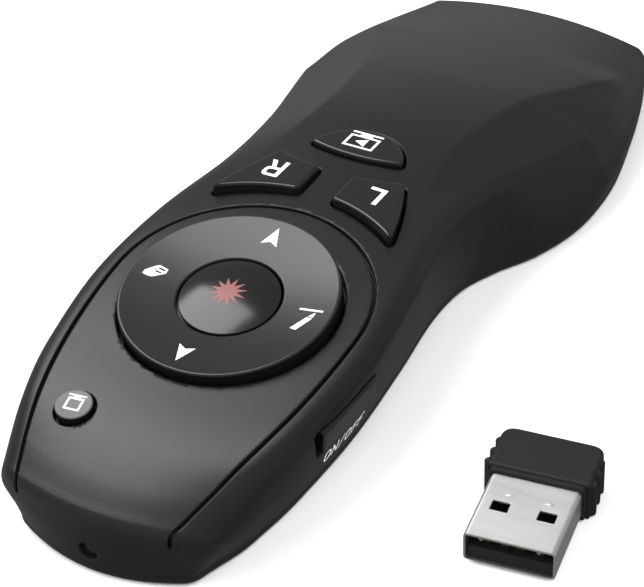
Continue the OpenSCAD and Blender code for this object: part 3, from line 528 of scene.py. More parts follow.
# each profile is a list of (place along the body, value)
profiles = {
    "spine": [
        (nose, frontTop), (-31.5, 12.45), (-25, 14.4), (-13, 16.2), (0, dialTop - 1.6), (14, peak - 0.35),
        (24, peak), (36, peak - 0.1), (46, peak - 0.5), (54, peak - 1.4), (66, peak - 3.4),
        (tail - 16, tailTop + 3.9), (tail, tailTop),
    ],
    "edgeX": [
        (nose, shoulder - 7), (-28, shoulder - 4.1), (-14, shoulder - 1.4), (0, shoulder),
        (14, shoulder - 1.2), (30, waist + 2.1), (45, waist + 3.1), (56, palm - 4.9),
        (corner, palm - 3.1), (corner, palm - 3.1), (76, palm - 3.9), (90, palm - 6), (tail, palm - 8.7),
    ],
    "edgeZ": [
        (nose, frontTop - 0.6), (-31.5, 11.8), (-25, 13.8), (-13, 15.4), (0, dialTop - 2.6),
        (14, peak - 1.4), (29, peak - 1.7), (45, peak - 4.1), (56, peak - 6.4), (corner, peak - 7.8),
        (76, tailTop + 3.1), (tail, tailTop - 1.1),
    ],
    "creaseX": [(nose, 9), (0, 14), (30, 13.2), (46, 11.5), (64, 13.4), (75, 17.3), (86, 20.2), (tail, 16)],
    "creaseDrop": [(nose, 0.3), (30, 0.75), (46, 0.55), (64, 0.7), (75, 1.05), (86, 1.05), (tail, 0.9)],
    "footX": [
        (nose, shoulder - 9), (-30, shoulder - 6.4), (-24, shoulder - 5.5), (-14, shoulder - 4.5),
        (0, shoulder - 3.8), (15, waist + 1), (28, waist), (36, waist + 0.8), (42, waist + 3.4),
        (48, palm - 3.4), (56, palm - 0.7), (64, palm), (72, palm - 0.6), (90, palm - 4.1),
        (tail, palm - 7.8),
    ],
    "bulge": [
        (nose, 1.1), (-22, 0.5), (20, 0.4), (40, 0.6), (52, 0.6), (corner, 1.3), (80, 1.6), (tail, 0.9),
    ],
    "edgeRound": [(nose, 3), (25, 2.6), (45, 1.4), (62, 0.7), (tail, 0.7)],
}


def profilesAt(y, *names):
    # the values of the named profiles at a place, or at many
    return [knotCurve(profiles[name], y) for name in names]


def bowAt(y, x, z):
    # how far a point off the centre line lies behind the middle of the front wall, or before that of the
    # palm end: the square of x over twice the plan radius, which grows with height at the front
    b = bodyShape
    t = fade(seamZ, b["coverFoot"], z)
    frontBow = (1 - t) / b["frontLowRadius"] + t / b["frontHighRadius"]
    front = 1 - fade(noseTurn, nose + b["frontBowEnd"], y)
    back = fade(tail - b["tailBowLength"], tailTurn, y)
    return front * x * x * frontBow / 2 - back * x * x / (2 * b["tailRadius"])


def topHeight(y, x):
    # a parabola from the spine to the top edge, blended into a flatter crown and a facet beyond the crease
    spine, edgeX, edgeZ = profilesAt(y, "spine", "edgeX", "edgeZ")
    creaseX, creaseDrop = profilesAt(y, "creaseX", "creaseDrop")
    creaseX = np.minimum(creaseX, edgeX - bodyShape["facetWidth"])
    creaseZ = spine - creaseDrop
    mix = fade(*bodyShape["creaseStart"], y) * (1 - fade(*bodyShape["creaseEnd"], y))
    r = np.abs(x)
    crowned = spine - (spine - edgeZ) * (r / edgeX) ** 2
    inside = spine - creaseDrop * (r / creaseX) ** 2
    outside = creaseZ + (edgeZ - creaseZ) * (r - creaseX) / (edgeX - creaseX)
    return (1 - mix) * crowned + mix * np.where(r <= creaseX, inside, outside)


def topSurface(x, y, rounds=6):
    # height of the outside above any point, with the bow of the ends taken out of y first
    section = np.asarray(y, float)
    for _ in range(rounds):
        section = y - bowAt(section, x, topHeight(section, x))
    return topHeight(section, x)


def sidePoint(y, t):
    # parabola from the top edge, t = 0, to the foot, t = 1, that swells by the bulge
    edgeX, edgeZ, footX, bulge = profilesAt(y, "edgeX", "edgeZ", "footX", "bulge")
    x = parabola(t, edgeX, (edgeX + footX) / 2 + 2 * bulge, footX)
    return x, parabola(t, edgeZ, (edgeZ + seamZ) / 2, seamZ)


def sideSurface(y, z):
    # half width of the housing at a height: the side's parabola has its middle at half height, so the
    # share t is linear in z
    edgeZ, = profilesAt(y, "edgeZ")
    return sidePoint(y, np.clip((edgeZ - z) / (edgeZ - seamZ), 0, 1))[0]


def outerHalf(y, side=26, edge=10, facet=14, crown=26):
    # half a cross-section, from the foot up the side, round the top edge and over to the spine
    y = y[:, None]
    edgeX, edgeZ, edgeRound, creaseX = profilesAt(y, "edgeX", "edgeZ", "edgeRound", "creaseX")
    turn = edgeRound / (edgeZ - seamZ)
    insideX = edgeX - edgeRound
    sideX, sideZ = sidePoint(y, 1 + (turn - 1) * np.linspace(0, 1, side))
    startX, startZ = sidePoint(y, turn)
    u = np.linspace(0, 1, edge + 1)[1:]
    roundX = parabola(u, startX, edgeX, insideX)
    roundZ = parabola(u, startZ, edgeZ, topHeight(y, insideX))
    creaseX = np.minimum(creaseX, edgeX - bodyShape["facetWidth"])
    creaseX = np.minimum(creaseX, insideX - bodyShape["leastFacetWidth"])
    facetX = insideX + (creaseX - insideX) * np.linspace(0, 1, facet + 1)[1:]
    crownX = creaseX * np.linspace(1, 0, crown + 1)[1:]
    x = np.concatenate([sideX, roundX, facetX, crownX], 1)
    return x, np.concatenate([sideZ, roundZ, topHeight(y, facetX), topHeight(y, crownX)], 1)


def innerHalf(y, side=6, facet=4, crown=8):
    # the same, one wall inside
    y = y[:, None]
    edgeX, creaseX = profilesAt(y, "edgeX", "creaseX")
    sideX, sideZ = sidePoint(y, 1 - 0.5 * np.linspace(0, 1, side))
    edgeX = edgeX - wall
    creaseX = np.minimum(creaseX, edgeX - bodyShape["innerFacetWidth"])
    facetX = edgeX + (creaseX - edgeX) * np.linspace(0, 1, facet)
    crownX = creaseX * np.linspace(1, 0, crown + 1)[1:]
    x = np.concatenate([sideX - wall, facetX, crownX], 1)
    return x, np.concatenate([sideZ, topHeight(y, facetX) - wall, topHeight(y, crownX) - wall], 1)


def capScale(count):
    # the scale of each ring: the shrinking copies at both ends and the full size between them
    shares = bodyShape["capShares"]
    return np.concatenate([shares, np.ones(count - 2 * len(shares)), shares[::-1]])


def bodyRings(half, depth, noseRound, tailRound, front=150, rear=56, turnSteps=8):
    # rings of the loft: scaled copies that close the front wall, an arc round its edge that stops at the
    # top's own slope, the sections along the body, and a quarter circle and the copies at the palm end
    noseEnd, tailEnd = nose + depth, tail - depth
    caps = len(bodyShape["capShares"])
    noseArc = np.linspace(np.pi / 2, noseLean, turnSteps)
    tailArc = np.radians(np.linspace(90, 0, turnSteps, endpoint=False))[::-1]
    along = np.concatenate([np.linspace(noseTurn, corner, front), np.linspace(corner, tailTurn, rear)[1:]])
    place = along.copy()
    place[0], place[-1] = noseEnd + noseRound, tailEnd - tailRound
    place = np.concatenate([
        noseEnd + noseRound * (1 - np.sin(noseArc)), place, tailEnd - tailRound * (1 - np.sin(tailArc)),
    ])
    inset = np.concatenate([
        noseRound * (1 / math.cos(noseLean) - np.cos(noseArc)), 0 * along, tailRound * (1 - np.cos(tailArc)),
    ])
    section = np.pad(along, caps + turnSteps, mode="edge")
    place, inset = (np.pad(v, caps, mode="edge")[:, None] for v in (place, inset))
    scale = capScale(len(section))[:, None]
    x, z = half(section)
    width, height = x[:, :1], z[:, -1:] - seamZ
    x = x * (1 - inset / width) * scale
    z = seamZ + (z - seamZ) * (1 - inset / height) * scale
    right = np.stack([x, place + bowAt(section[:, None], x, z), z], -1)
    return np.concatenate([right, right[:, -2::-1] * [-1, 1, 1]], 1)


outerRings = bodyRings(outerHalf, 0, bodyShape["noseRound"], bodyShape["tailRound"])


def shellSolid(name):
    # the upper half of the housing as one closed shell: outside, inside, and the rim that joins them
    points, faces, rims, first = [], [], [], 0
    for rings, depth in ((outerRings, 0), (bodyRings(innerHalf, wall, *bodyShape["innerRounds"]), wall)):
        rows, count = rings.shape[:2]
        poles = first + rows * count + np.arange(2)
        points += [rings.reshape(-1, 3), [[0, nose + depth, seamZ], [0, tail - depth, seamZ]]]
        faces += gridFaces(rows, count, first=first)
        j = np.arange(count - 1)
        end = first + (rows - 1) * count
        faces += np.stack([np.full(count - 1, poles[0]), first + j + 1, first + j], -1).tolist()
        faces += np.stack([np.full(count - 1, poles[1]), end + j, end + j + 1], -1).tolist()
        i = first + count * np.arange(rows)
        rims.append([np.concatenate([poles[:1], i + column, poles[1:]]) for column in (0, count - 1)])
        first = poles[1] + 1
    for a, b in zip(*rims):
        faces += np.stack([a[:-1], a[1:], b[1:], b[:-1]], -1).tolist()
    return outwards(meshObject(name, np.concatenate(points), faces))


coverShape = {
    "endRadius": 18.5,
    "endY": 1.6,
    "flankRadius": 97.0,
    "ahead": 4.0,
    "above": 40.0,
    "clearance": 0.05,
    "gap": 0.48,
    "lip": 0.16,
    "grooveDepth": 1.0,
}


def flankX(y):
    # half the cover's width before the middle of its round end
    away = coverShape["flankRadius"] - coverShape["endRadius"]
    return np.sqrt(coverShape["flankRadius"] ** 2 - (y - coverShape["endY"]) ** 2) - away


def coverPrism(name, grow, steps=90):
    # the cover's plan outline, run on past the front wall, as an upright block
    c = coverShape
    ahead = nose - c["ahead"]
    y = np.linspace(c["endY"], ahead, steps)
    right = np.stack([flankX(y), y], -1)
    end = arcPoints((0, c["endY"]), c["endRadius"], 0, 180, 2 * steps)
    outline = np.concatenate([right[::-1], end[1:-1], right * [-1, 1]])
    outline = outline + grow * outwardNormals(outline) * (outline[:, 1:] > ahead + 0.01)
    return stacked(name, [(outline, bodyShape["coverFoot"]), (outline, c["above"])])


def seamOverEdge(a, rounds=5):
    # points of the arc over the front edge, on the flank
    radius = bodyShape["noseRound"]
    x = np.full_like(a, flankX(noseTurn))
    inset = radius * (1 / math.cos(noseLean) - np.cos(a))
    width, height = profilesAt(noseTurn, "footX")[0], topHeight(noseTurn, 0.0) - seamZ
    for _ in range(rounds):
        z = seamZ + (topHeight(noseTurn, x / (1 - inset / width)) - seamZ) * (1 - inset / height)
        y = nose + radius * (1 - np.sin(a)) + bowAt(noseTurn, x, z)
        x = flankX(y)
    return np.stack([x, y, z], -1)


def seamLine(steps=70, edgeSteps=12, wallSteps=8, step=0.2):
    # the open seam on the outside: up the front wall on the right, over its edge, back round the dial and
    # down again on the left; with the outward direction at each point
    a = np.linspace(np.pi / 2, noseLean, edgeSteps)
    edge = seamOverEdge(a)
    wallZ = np.linspace(bodyShape["coverFoot"], edge[0, 2], wallSteps, endpoint=False)
    wallX = np.full_like(wallZ, edge[0, 0])
    front = np.stack([wallX, nose + bowAt(noseTurn, wallX, wallZ), wallZ], -1)
    y = np.linspace(edge[-1, 1], coverShape["endY"], steps)[1:]
    end = arcPoints((0, coverShape["endY"]), coverShape["endRadius"], 0, 90, steps)[1:]
    top = np.concatenate([np.stack([flankX(y), y], -1), end])
    right = np.concatenate([front, edge, raised(top, topSurface(*top.T))])
    upEdge = np.cos((a - noseLean) / (1 - 2 * noseLean / np.pi))
    up = np.concatenate([np.zeros(len(front)), upEdge, np.ones(len(top))])[:, None]
    loop = np.concatenate([right, right[-2::-1] * [-1, 1, 1]])
    up = np.concatenate([up, up[-2::-1]])
    x, y = loop[:, 0], loop[:, 1]
    slopeX = (topSurface(x + step, y) - topSurface(x - step, y)) / (2 * step)
    slopeY = (topSurface(x, y + step) - topSurface(x, y - step)) / (2 * step)
    topNormal = unit(np.stack([-slopeX, -slopeY, np.ones(len(loop))], -1))
    wallNormal = unit(np.stack([x / bodyShape["frontHighRadius"], -np.ones(len(loop)), 0 * x], -1))
    return loop, unit(topNormal * up + wallNormal * np.sqrt(1 - up * up))


def lipProfile(halfGap, depth, lip, above=0.35, steps=5, flare=68.0, tuck=0.8):
    # half a groove's section as (out, up): straight up from its floor, then flaring round the lip
    a = np.radians(np.linspace(0, flare, steps + 1))
    out = np.concatenate([[halfGap], halfGap + lip * (1 - np.cos(a))])
    up = np.concatenate([[-depth], -lip + lip * np.sin(a)])
    return np.append(out, out[-1] + above * math.tan(a[-1]) * tuck), np.append(up, up[-1] + above)


def grooveTool(name, line, normal, halfGap, depth, lip):
    # a groove's section carried along an open line on a surface
    across = unit(np.cross(unit(np.gradient(line, axis=0)), normal))
    out, up = lipProfile(halfGap, depth, lip)
    out, up = np.concatenate([out, -out[::-1]]), np.concatenate([up, up[::-1]])
    points = line[:, None] + across[:, None] * out[:, None] + normal[:, None] * up[:, None]
    return closedLoft(name, points, plates=True)


def flaredTool(name, outline, heights, depth, place=asIs, lip=0.25, normals=None):
    # a hole's outline carried down through a surface, flared where it meets it; place turns points of
    # (flat x, flat y, height) into points of the frame
    normals = outwardNormals(outline) if normals is None else normals
    levels = [(outline + normals * o, heights + u) for o, u in zip(*lipProfile(0.0, lip + 0.05, lip))]
    return stacked(name, [(outline, heights - depth), *levels], place)


dialShape = {
    "diameter": 30.0,
    "height": dialTop,
    "tilt": 8.0,
    "bore": 14.4,
    "dish": 0.75,
    "sag": 0.06,
    "edge": 0.32,
    "gap": 0.35,
    "wellDepth": 6.0,
    "steps": 192,
    # corners of the underside: (place off the bore, height), then (place off the rim, height)
    "boreSkirt": [(0, -4.6), (1, -4.6), (1, -2.7)],
    "rimSkirt": [
        (-1.4, -2.5), (-1.4, -4.95), (-0.1, -4.95), (-0.1, -5.35), (0.9, -5.35), (0.9, -4.75), (0, -4.75),
    ],
}
keyShape = {
    "height": 20.7,
    "fall": 3.0,
    "crownRadius": 190.0,
    "nearRadius": 23.6,
    "split": 5.3,
    "backRadius": 26.8,
    "backY": 56.8,
    "outerCentre": (-33.0, 10.2),
    "outerRadius": 48.0,
    "showRadius": 7.45,
    "showY": 34.5,
    "showNearRadius": 22.1,
    "gap": 0.3,
    "corners": (1.2, 0.7, 0.7, 0.8),
    "showCorners": (0.5, 0.5),
    "edge": 0.5,
    "depth": 4.8,
    "wellDepth": 4.0,
}
roundKeyShape = {
    "diameter": 5.0,
    "x": -9.1,
    "y": -24.0,
    "rise": 0.8,
    "gap": 0.3,
    "edge": 0.3,
    "dish": 0.12,
    "middle": 0.1,
    "flange": [(1, -3.1), (1, -2.5), (0, -2.5)],
    "steps": 96,
    "wellLip": 0.22,
    "wellDepth": 5.0,
}
sliderShape = {
    "length": 13.0,
    "height": 5.2,
    "slant": 1.7,
    "corner": 0.5,
    "y": -5.35,
    "z": 10.2,
    "x": shoulder - 1.2,
    "lean": 15.4,
    "turn": -3.2,
    "thickness": 1.9,
    "edge": 0.35,
    "travel": 1.0,
    "gap": 0.3,
    "wellDepth": 5.0,
}
windowShape = {"radius": 1.3, "height": 4.0, "depth": 4.0}


def dialPlace(points):
    # from the flat dial to the dial as it leans on the body
    return turned(points, tilt=dialShape["tilt"], origin=(0, 0, dialShape["height"]))


def roundKeyPlace(points):
    # from the flat round key to its place over the cover, parallel to the dial
    x, y = roundKeyShape["x"], roundKeyShape["y"]
    top = float(topHeight(np.array(y), x))
    return turned(points, tilt=dialShape["tilt"], origin=(x, y, top + roundKeyShape["rise"]))


def sliderPlace(points):
    # from (along, up, distance out of the side wall)
    origin = (sliderShape["x"], sliderShape["y"], sliderShape["z"])
    return turned(points[..., [2, 0, 1]], lean=sliderShape["lean"], turn=sliderShape["turn"], origin=origin)


def frontPlace(points):
    # from (across, up, distance out of the front wall)
    return points[..., [0, 2, 1]] * [1, -1, 1]


def dialHeights(outline, rounds=8):
    # height of the outside over each point of an outline in the dial's plane, along the dial's own axis
    height = np.zeros(len(outline))
    for _ in range(rounds):
        world = dialPlace(raised(outline, height))
        gap = topSurface(world[:, 0], world[:, 1]) - world[:, 2]
        height = height + gap * math.cos(math.radians(dialShape["tilt"]))
    return height


def sliderHeights(outline, rounds=8):
    # distance of the side wall over each point of an outline in the slider's plane
    outward = np.zeros(len(outline))
    for _ in range(rounds):
        world = sliderPlace(raised(outline, outward))
        outward = outward + (sideSurface(world[:, 1], world[:, 2]) - world[:, 0])
    return outward


def clickOutline():
    # four-sided key outline: round the dial, along the outer edge, round the slide show key, and back
    k = keyShape
    centre, back, outer = (0, 0), (0, k["backY"]), k["outerCentre"]
    x = k["split"] / 2
    a = np.array([x, math.sqrt(k["nearRadius"] ** 2 - x * x)])
    b = circlesMeet(centre, k["nearRadius"], outer, k["outerRadius"], -1)
    c = circlesMeet(back, k["backRadius"], outer, k["outerRadius"], 1)
    d = np.array([x, k["backY"] - math.sqrt(k["backRadius"] ** 2 - x * x)])
    sides = [
        arcBetween(centre, k["nearRadius"], a, b, 60),
        arcBetween(outer, k["outerRadius"], b, c, 60),
        arcBetween(back, k["backRadius"], c, d, 60),
        np.stack([d, a]),
    ]
    return softOutline(sides, k["corners"], sideSteps=30)


def showOutline():
    # lens between the slide show key's round edge and the arc that it shares with the click keys
    k = keyShape
    low, high = (0, k["backY"]), (0, k["showY"])
    right = circlesMeet(high, k["showRadius"], low, k["showNearRadius"], -1)
    left = right * [-1, 1]
    sides = [
        arcBetween(low, k["showNearRadius"], left, right, 90),
        arcBetween(high, k["showRadius"], right, left, 120),
    ]
    return softOutline(sides, k["showCorners"], sideSteps=70)


def sliderOutline(frontRoom=0.0):
    # a slanted plate, longer at the front by its room to move
    l, h = sliderShape["length"] / 2, sliderShape["height"] / 2
    lean = sliderShape["slant"] / 2
    corners = [(-l - frontRoom + lean, -h), (l + lean, -h), (l - lean, h), (-l - frontRoom - lean, h)]
    return softOutline(polygonSides(corners), [sliderShape["corner"]] * 4, sideSteps=30)


keyOutlines = {"left": clickOutline(), "right": clickOutline()[::-1] * [-1, 1], "show": showOutline()}


def holeTools():
    # the openings in the housing, each with a small rounded lip
    tools = {}
    for name, outline in keyOutlines.items():
        normals = outwardNormals(outline)
        grown = outline + normals * keyShape["gap"]
        heights = topSurface(*grown.T)
        tools[name] = flaredTool(name + "Well", grown, heights, keyShape["wellDepth"], normals=normals)
    outline = circleOutline(dialShape["diameter"] / 2 + dialShape["gap"])
    tools["dial"] = flaredTool("dialWell", outline, dialHeights(outline), dialShape["wellDepth"], dialPlace)
    k = roundKeyShape
    outline = circleOutline(k["diameter"] / 2 + k["gap"], steps=k["steps"])
    world = roundKeyPlace(raised(outline, 0))
    heights = topSurface(world[:, 0], world[:, 1]) - world[:, 2]
    depth, lip = k["wellDepth"], k["wellLip"]
    tools["roundKey"] = flaredTool("roundKeyWell", outline, heights, depth, roundKeyPlace, lip)
    outline = sliderOutline(sliderShape["travel"])
    grown = outline + outwardNormals(outline) * sliderShape["gap"]
    depth = sliderShape["wellDepth"]
    tools["slider"] = flaredTool("sliderSlot", grown, sliderHeights(grown), depth, sliderPlace)
    window = circleOutline(windowShape["radius"], (0, windowShape["height"]), steps=64)
    heights = -(nose + bowAt(noseTurn, window[:, 0], window[:, 1]))
    tools["laser"] = flaredTool("laserHole", window, heights, windowShape["depth"], frontPlace)
    return tools


def makeHousing():
    # the top shell and the front cover, cut apart along the seam's groove
    c = coverShape
    tools = holeTools()
    line, normal = seamLine()
    shell = shellSolid("housing")
    carve(shell, [grooveTool("seamGroove", line, normal, c["gap"] / 2, c["grooveDepth"], c["lip"])])
    cover = linkObject("frontCover", shell.data.copy())
    shell.name = "topShell"
    carve(shell, [coverPrism("coverCut", c["clearance"])])
    carve(shell, [tools[k] for k in ("left", "right", "show", "slider", "laser")])
    carve(cover, [coverPrism("coverKeep", -c["clearance"])], "INTERSECT")
    carve(cover, [tools[k] for k in ("dial", "roundKey")])
    finishPiece(shell, "body", plastics["body"], "top_shell", flat=True)
    finishPiece(cover, "body", plastics["cover"], "front_cover", flat=True)
    print("housing:", len(shell.data.polygons), "faces, cover:", len(cover.data.polygons), "faces")


makeHousing()


trayShape = {
    "round": 1.6,
    "floor": 1.4,
    "gap": 0.1,
    "rimEdge": 0.08,
    "lipIn": 1.55,
    "lipThickness": 0.9,
    "lipHeight": 1.2,
    "lipEdge": 0.2,
    "endLength": 12.0,
    "bayGap": 1.15,
    "bayWall": 1.2,
    "bayAhead": 1.4,
    "bayFoot": 0.5,
    "bayTop": 9.5,
    "ledgeGap": 0.2,
    "ledgeTop": 1.75,
    "backTop": 7.25,
    "springRoom": 3.6,
    # radius and height of a screw's recess and bore
    "screwRecess": [(2.25, -1), (2.25, 0), (2.25, 2), (1.15, 2), (1.15, 5)],
    "frontScrew": (7.2, nose + 5.6),
    "rearScrew": (17.5, 62),
}
doorShape = {
    "width": 24.0,
    "y": 27.0,
    "gap": 0.15,
    "rise": 0.15,
    "topGap": 0.2,
    "endLength": 7.0,
    "tongue": 0.8,
    "tongueBack": 14.0,
    "tongueZ": (0.62, 1.08),
    "tongueGap": 0.2,
    "railZ": (0.5, 1.2),
    "railRoom": 0.1,
    "gripCount": 4,
    "gripRadius": 0.5,
    "gripHalf": 6.0,
    "gripBack": 20.0,
    "gripPitch": 2.2,
}


def footOutline(inset):
    # the seam's plan outline, set in by a distance, anticlockwise from the middle of the front wall
    x, y = outerRings[:, 0, 0], outerRings[:, 0, 1]
    ahead = 1 - fade(noseTurn, noseTurn + trayShape["endLength"], y)
    behind = fade(tailTurn - trayShape["endLength"], tailTurn, y)
    right = np.stack([x - inset * capScale(len(x)), y + inset * (ahead - behind)], -1)
    return np.concatenate([[[0, nose + inset]], right, [[0, tail - inset]], right[::-1] * [-1, 1]])


def trayStack(name, levels):
    # solid between plan outlines, each given as (inset, height), on a rounded underside
    return stacked(name, [(footOutline(d), z) for d, z in quarterLevels(trayShape["round"]) + levels])


def makeTray():
    # plan outlines stacked up the outside, over the locating lip and down the inside, with the battery
    # bay's walls added and the doorway, screw recesses and rails cut out
    t, d = trayShape, doorShape
    rim, lipTop = seamZ - t["gap"], seamZ + t["lipHeight"]
    lip, inside = t["lipIn"], t["lipIn"] + t["lipThickness"]
    tray = trayStack("bottomShell", [
        (0, rim - t["rimEdge"]), (t["rimEdge"], rim), (lip, rim), (lip, lipTop - t["lipEdge"]),
        (lip + t["lipEdge"], lipTop), (inside, lipTop), (inside, t["floor"]),
    ])
    half, gap, start, past = d["width"] / 2, d["gap"], d["y"], tail + beyond
    carve(tray, [boxPiece("doorway", (-half - gap, start - gap, -1), (half + gap, past, seamZ + beyond))])
    bay, foot = half + t["bayGap"], t["bayFoot"]
    outer, ahead = bay + t["bayWall"], start - t["bayAhead"]
    back = cadBox("left_cell")[1][1] + t["springRoom"]
    end = back + t["bayWall"]
    walls = []
    for side in (-1, 1):
        walls.append(boxPiece("bayWall", (side * bay, ahead, foot), (side * outer, end, t["bayTop"])))
        ledge = side * (half + t["ledgeGap"])
        walls.append(boxPiece("bayLedge", (ledge, ahead, foot), (side * outer, end, t["ledgeTop"])))
    walls.append(boxPiece("bayFront", (-outer, ahead, foot), (outer, ahead + t["bayWall"], t["bayTop"])))
    walls.append(boxPiece("bayBack", (-outer, back, t["ledgeTop"]), (outer, end, t["backTop"])))
    carve(tray, walls, "UNION")
    cuts = []
    recess = revolved(t["screwRecess"], 48)
    for x, y in (t["frontScrew"], t["rearScrew"]):
        for side in (-1, 1):
            cuts.append(closedLoft("recess", recess + [side * x, y, 0], plates=True))
    for side in (-1, 1):
        near = side * (half + gap - d["railRoom"])
        far = side * (half + gap + d["tongue"] + d["railRoom"])
        cuts.append(boxPiece("rail", (near, start - gap, d["railZ"][0]), (far, past, d["railZ"][1])))
    carve(tray, cuts)
    finishPiece(tray, "body", plastics["body"], "bottom_shell")


def makeDoor():
    # the part of the same stack that lies under the cells, with a thicker end, grip grooves and tongues
    d = doorShape
    half, start, low, top = d["width"] / 2, d["y"], d["rise"], seamZ - d["topGap"]
    door = trayStack("batteryDoor", [(0, top)])
    keep = boxPiece("doorPanel", (-half, start, low), (half, tail + beyond, trayShape["floor"]))
    end = boxPiece("doorEnd", (-half, tail - d["endLength"], low), (half, tail + beyond / 2, top))
    carve(keep, [end], "UNION")
    carve(door, [keep], "INTERSECT")
    grooves = []
    for i in range(d["gripCount"]):
        y = tail - d["gripBack"] + d["gripPitch"] * i
        outline = circleOutline(d["gripRadius"], (y, low), steps=24)
        ends = [(outline, side * d["gripHalf"]) for side in (-1, 1)]
        grooves.append(stacked("grip", ends, lambda points: points[..., [2, 0, 1]]))
    carve(door, grooves)
    tongues = []
    for side in (-1, 1):
        near, far = side * (half - d["tongueGap"]), side * (half + d["tongue"] - d["tongueGap"])
        y, z = (start + d["tongueGap"], tail - d["tongueBack"]), d["tongueZ"]
        tongues.append(boxPiece("tongue", (near, y[0], z[0]), (far, y[1], z[1])))
    carve(door, tongues, "UNION")
    finishPiece(door, "door", plastics["body"], "battery_door")


makeTray()
makeDoor()
print("bottom shell and door made")


def dishHeight(radius):
    # the ring's dished face: a straight fall to the bore with a shallow parabola below it
    outer = dialShape["diameter"] / 2 - dialShape["edge"]
    inner = dialShape["bore"] / 2 + dialShape["edge"]
    t = np.clip((outer - radius) / (outer - inner), 0, 1)
    return -dialShape["dish"] * t - dialShape["sag"] * 4 * t * (1 - t)


def makeRing():
    # a closed profile carried round the axis: rounded rim, dished face, rounded bore, stepped underside
    d = dialShape
    outer, inner, edge, steps = d["diameter"] / 2, d["bore"] / 2, d["edge"], d["steps"]
    radius = np.linspace(outer - edge, inner + edge, 48)
    face = np.stack([radius, dishHeight(radius)], -1)
    skirt = [(inner + out, z) for out, z in d["boreSkirt"]] + [(outer + out, z) for out, z in d["rimSkirt"]]
    rim = quarter((outer, -edge), (outer, 0), face[0])
    bore = quarter(face[-1], (inner, face[-1, 1]), (inner, face[-1, 1] - edge))
    profile = np.concatenate([rim, face[1:-1], bore, skirt])
    faces = gridFaces(len(profile), steps, wrapColumns=True, wrapRows=True)
    ring = outwards(meshObject("dialRing", dialPlace(revolved(profile, steps)), faces))
    finishPiece(ring, "ring", glossBlack, "dial_ring", angle=40)
    row = np.arange(len(ring.data.polygons)) // steps
    # painted shade on the ring's outer wall, bore wall and underside, which sit down in the well
    paintWallShade(ring, (row >= len(profile) - len(skirt) - 2) | (row < 1))


buttonShape = {
    "radius": dialShape["bore"] / 2 - 0.3,
    "rim": -0.85,
    "rise": 1.0,
    "edge": 0.15,
    "edgeFall": 0.03,
    "middle": 0.1,
    "steps": 144,
    # corners of the underside: (radius, height), then (place off the rim, height)
    "stem": [(1.0, -6.0), (1.0, -3.2)],
    "skirt": [(-1.2, -3.2), (-1.2, -5.8), (0.55, -5.8), (0.55, -5.25), (0, -5.25)],
}


def buttonHeight(radius):
    # a paraboloid dome over its rim
    return buttonShape["rim"] + buttonShape["rise"] * (1 - (radius / buttonShape["radius"]) ** 2)


def makeButton():
    # a domed face over a rounded rim, a skirt with a flange, and a stem that reaches the switch
    b = buttonShape
    radius = np.linspace(b["radius"] - b["edge"], b["middle"], 40)
    face = np.stack([radius, buttonHeight(radius)], -1)
    low, high = face[0, 1] - b["edge"], face[0, 1] - b["edgeFall"]
    rim = quarter((b["radius"], low), (b["radius"], high), face[0])
    skirt = b["stem"] + [(b["radius"] + out, z) for out, z in b["skirt"]]
    points = revolved(np.concatenate([skirt, rim, face[1:]]), b["steps"])
    button = closedLoft("laserButton", dialPlace(points))
    finishPiece(button, "centre_button", buttonBlack, "laser_button", angle=40)


makeRing()
makeButton()
print("dial made")


def moulded(name, outline, topOf, low, edge, place=asIs, foot=0.6, smallest=0.04, insideSteps=14):
    # a moulded cap: up its wall, round the edge on a quarter circle, and in over its top to the middle
    normals = outwardNormals(outline)
    middle, inner = outline.mean(0), outline - normals * edge
    levels = [(outline, low), (outline, low + foot)]
    for inset, drop in quarterLevels(edge)[::-1]:
        flat = outline - normals * inset
        levels.append((flat, topOf(flat) - drop))
    for share in np.linspace(1, smallest, insideSteps)[1:]:
        flat = middle + (inner - middle) * share
        levels.append((flat, topOf(flat)))
    return stacked(name, levels, place, plates=False)


def keyTop(flat):
    # a slope away from the dial with a shallow parabola across it
    k = keyShape
    fall = math.tan(math.radians(k["fall"]))
    return k["height"] - fall * (flat[:, 1] - k["nearRadius"]) - flat[:, 0] ** 2 / (2 * k["crownRadius"])


def makeKeys():
    # a moulded cap for each outline, that reaches down into the housing
    nodes = {"left": "left_click_key", "right": "right_click_key", "show": "slide_show_key"}
    for name, outline in keyOutlines.items():
        low = cadBox(nodes[name])[1][2] - keyShape["depth"]
        piece = moulded(name + "Key", outline, keyTop, low, keyShape["edge"])
        finishPiece(piece, name + "_key", plastics["key"], nodes[name], angle=40)


def roundKeyHeight(radius):
    # a shallow parabolic dish
    return -roundKeyShape["dish"] * (1 - (radius / roundKeyShape["diameter"] * 2) ** 2)


def makeRoundKey():
    # a dished face, a rounded rim and a flange, carried round the axis
    k = roundKeyShape
    radius, edge = k["diameter"] / 2, k["edge"]
    inner = np.linspace(radius - edge, k["middle"], 14)
    face = np.stack([inner, roundKeyHeight(inner)], -1)
    rim = quarter((radius, -edge), (radius, 0), face[0])
    flange = [(radius + out, z) for out, z in k["flange"]]
    points = revolved(np.concatenate([flange, rim, face[1:]]), k["steps"])
    piece = closedLoft("roundKey", roundKeyPlace(points))
    finishPiece(piece, "round_key", plastics["roundKey"], "blank_key", angle=40)
    row = np.arange(len(piece.data.polygons)) // k["steps"]
    # painted shade on the round key's side wall and flange, which sit down in its well
    paintWallShade(piece, row <= len(flange))


def makeSlider():
    # a flat moulded cap in the side wall
    s = sliderShape
    piece = moulded("powerSlider", sliderOutline(), lambda flat: 0.0, -s["thickness"], s["edge"], sliderPlace)
    finishPiece(piece, "slider", plastics["key"], "power_slider", angle=40)


makeKeys()
makeRoundKey()
makeSlider()
print("keys and slider made")


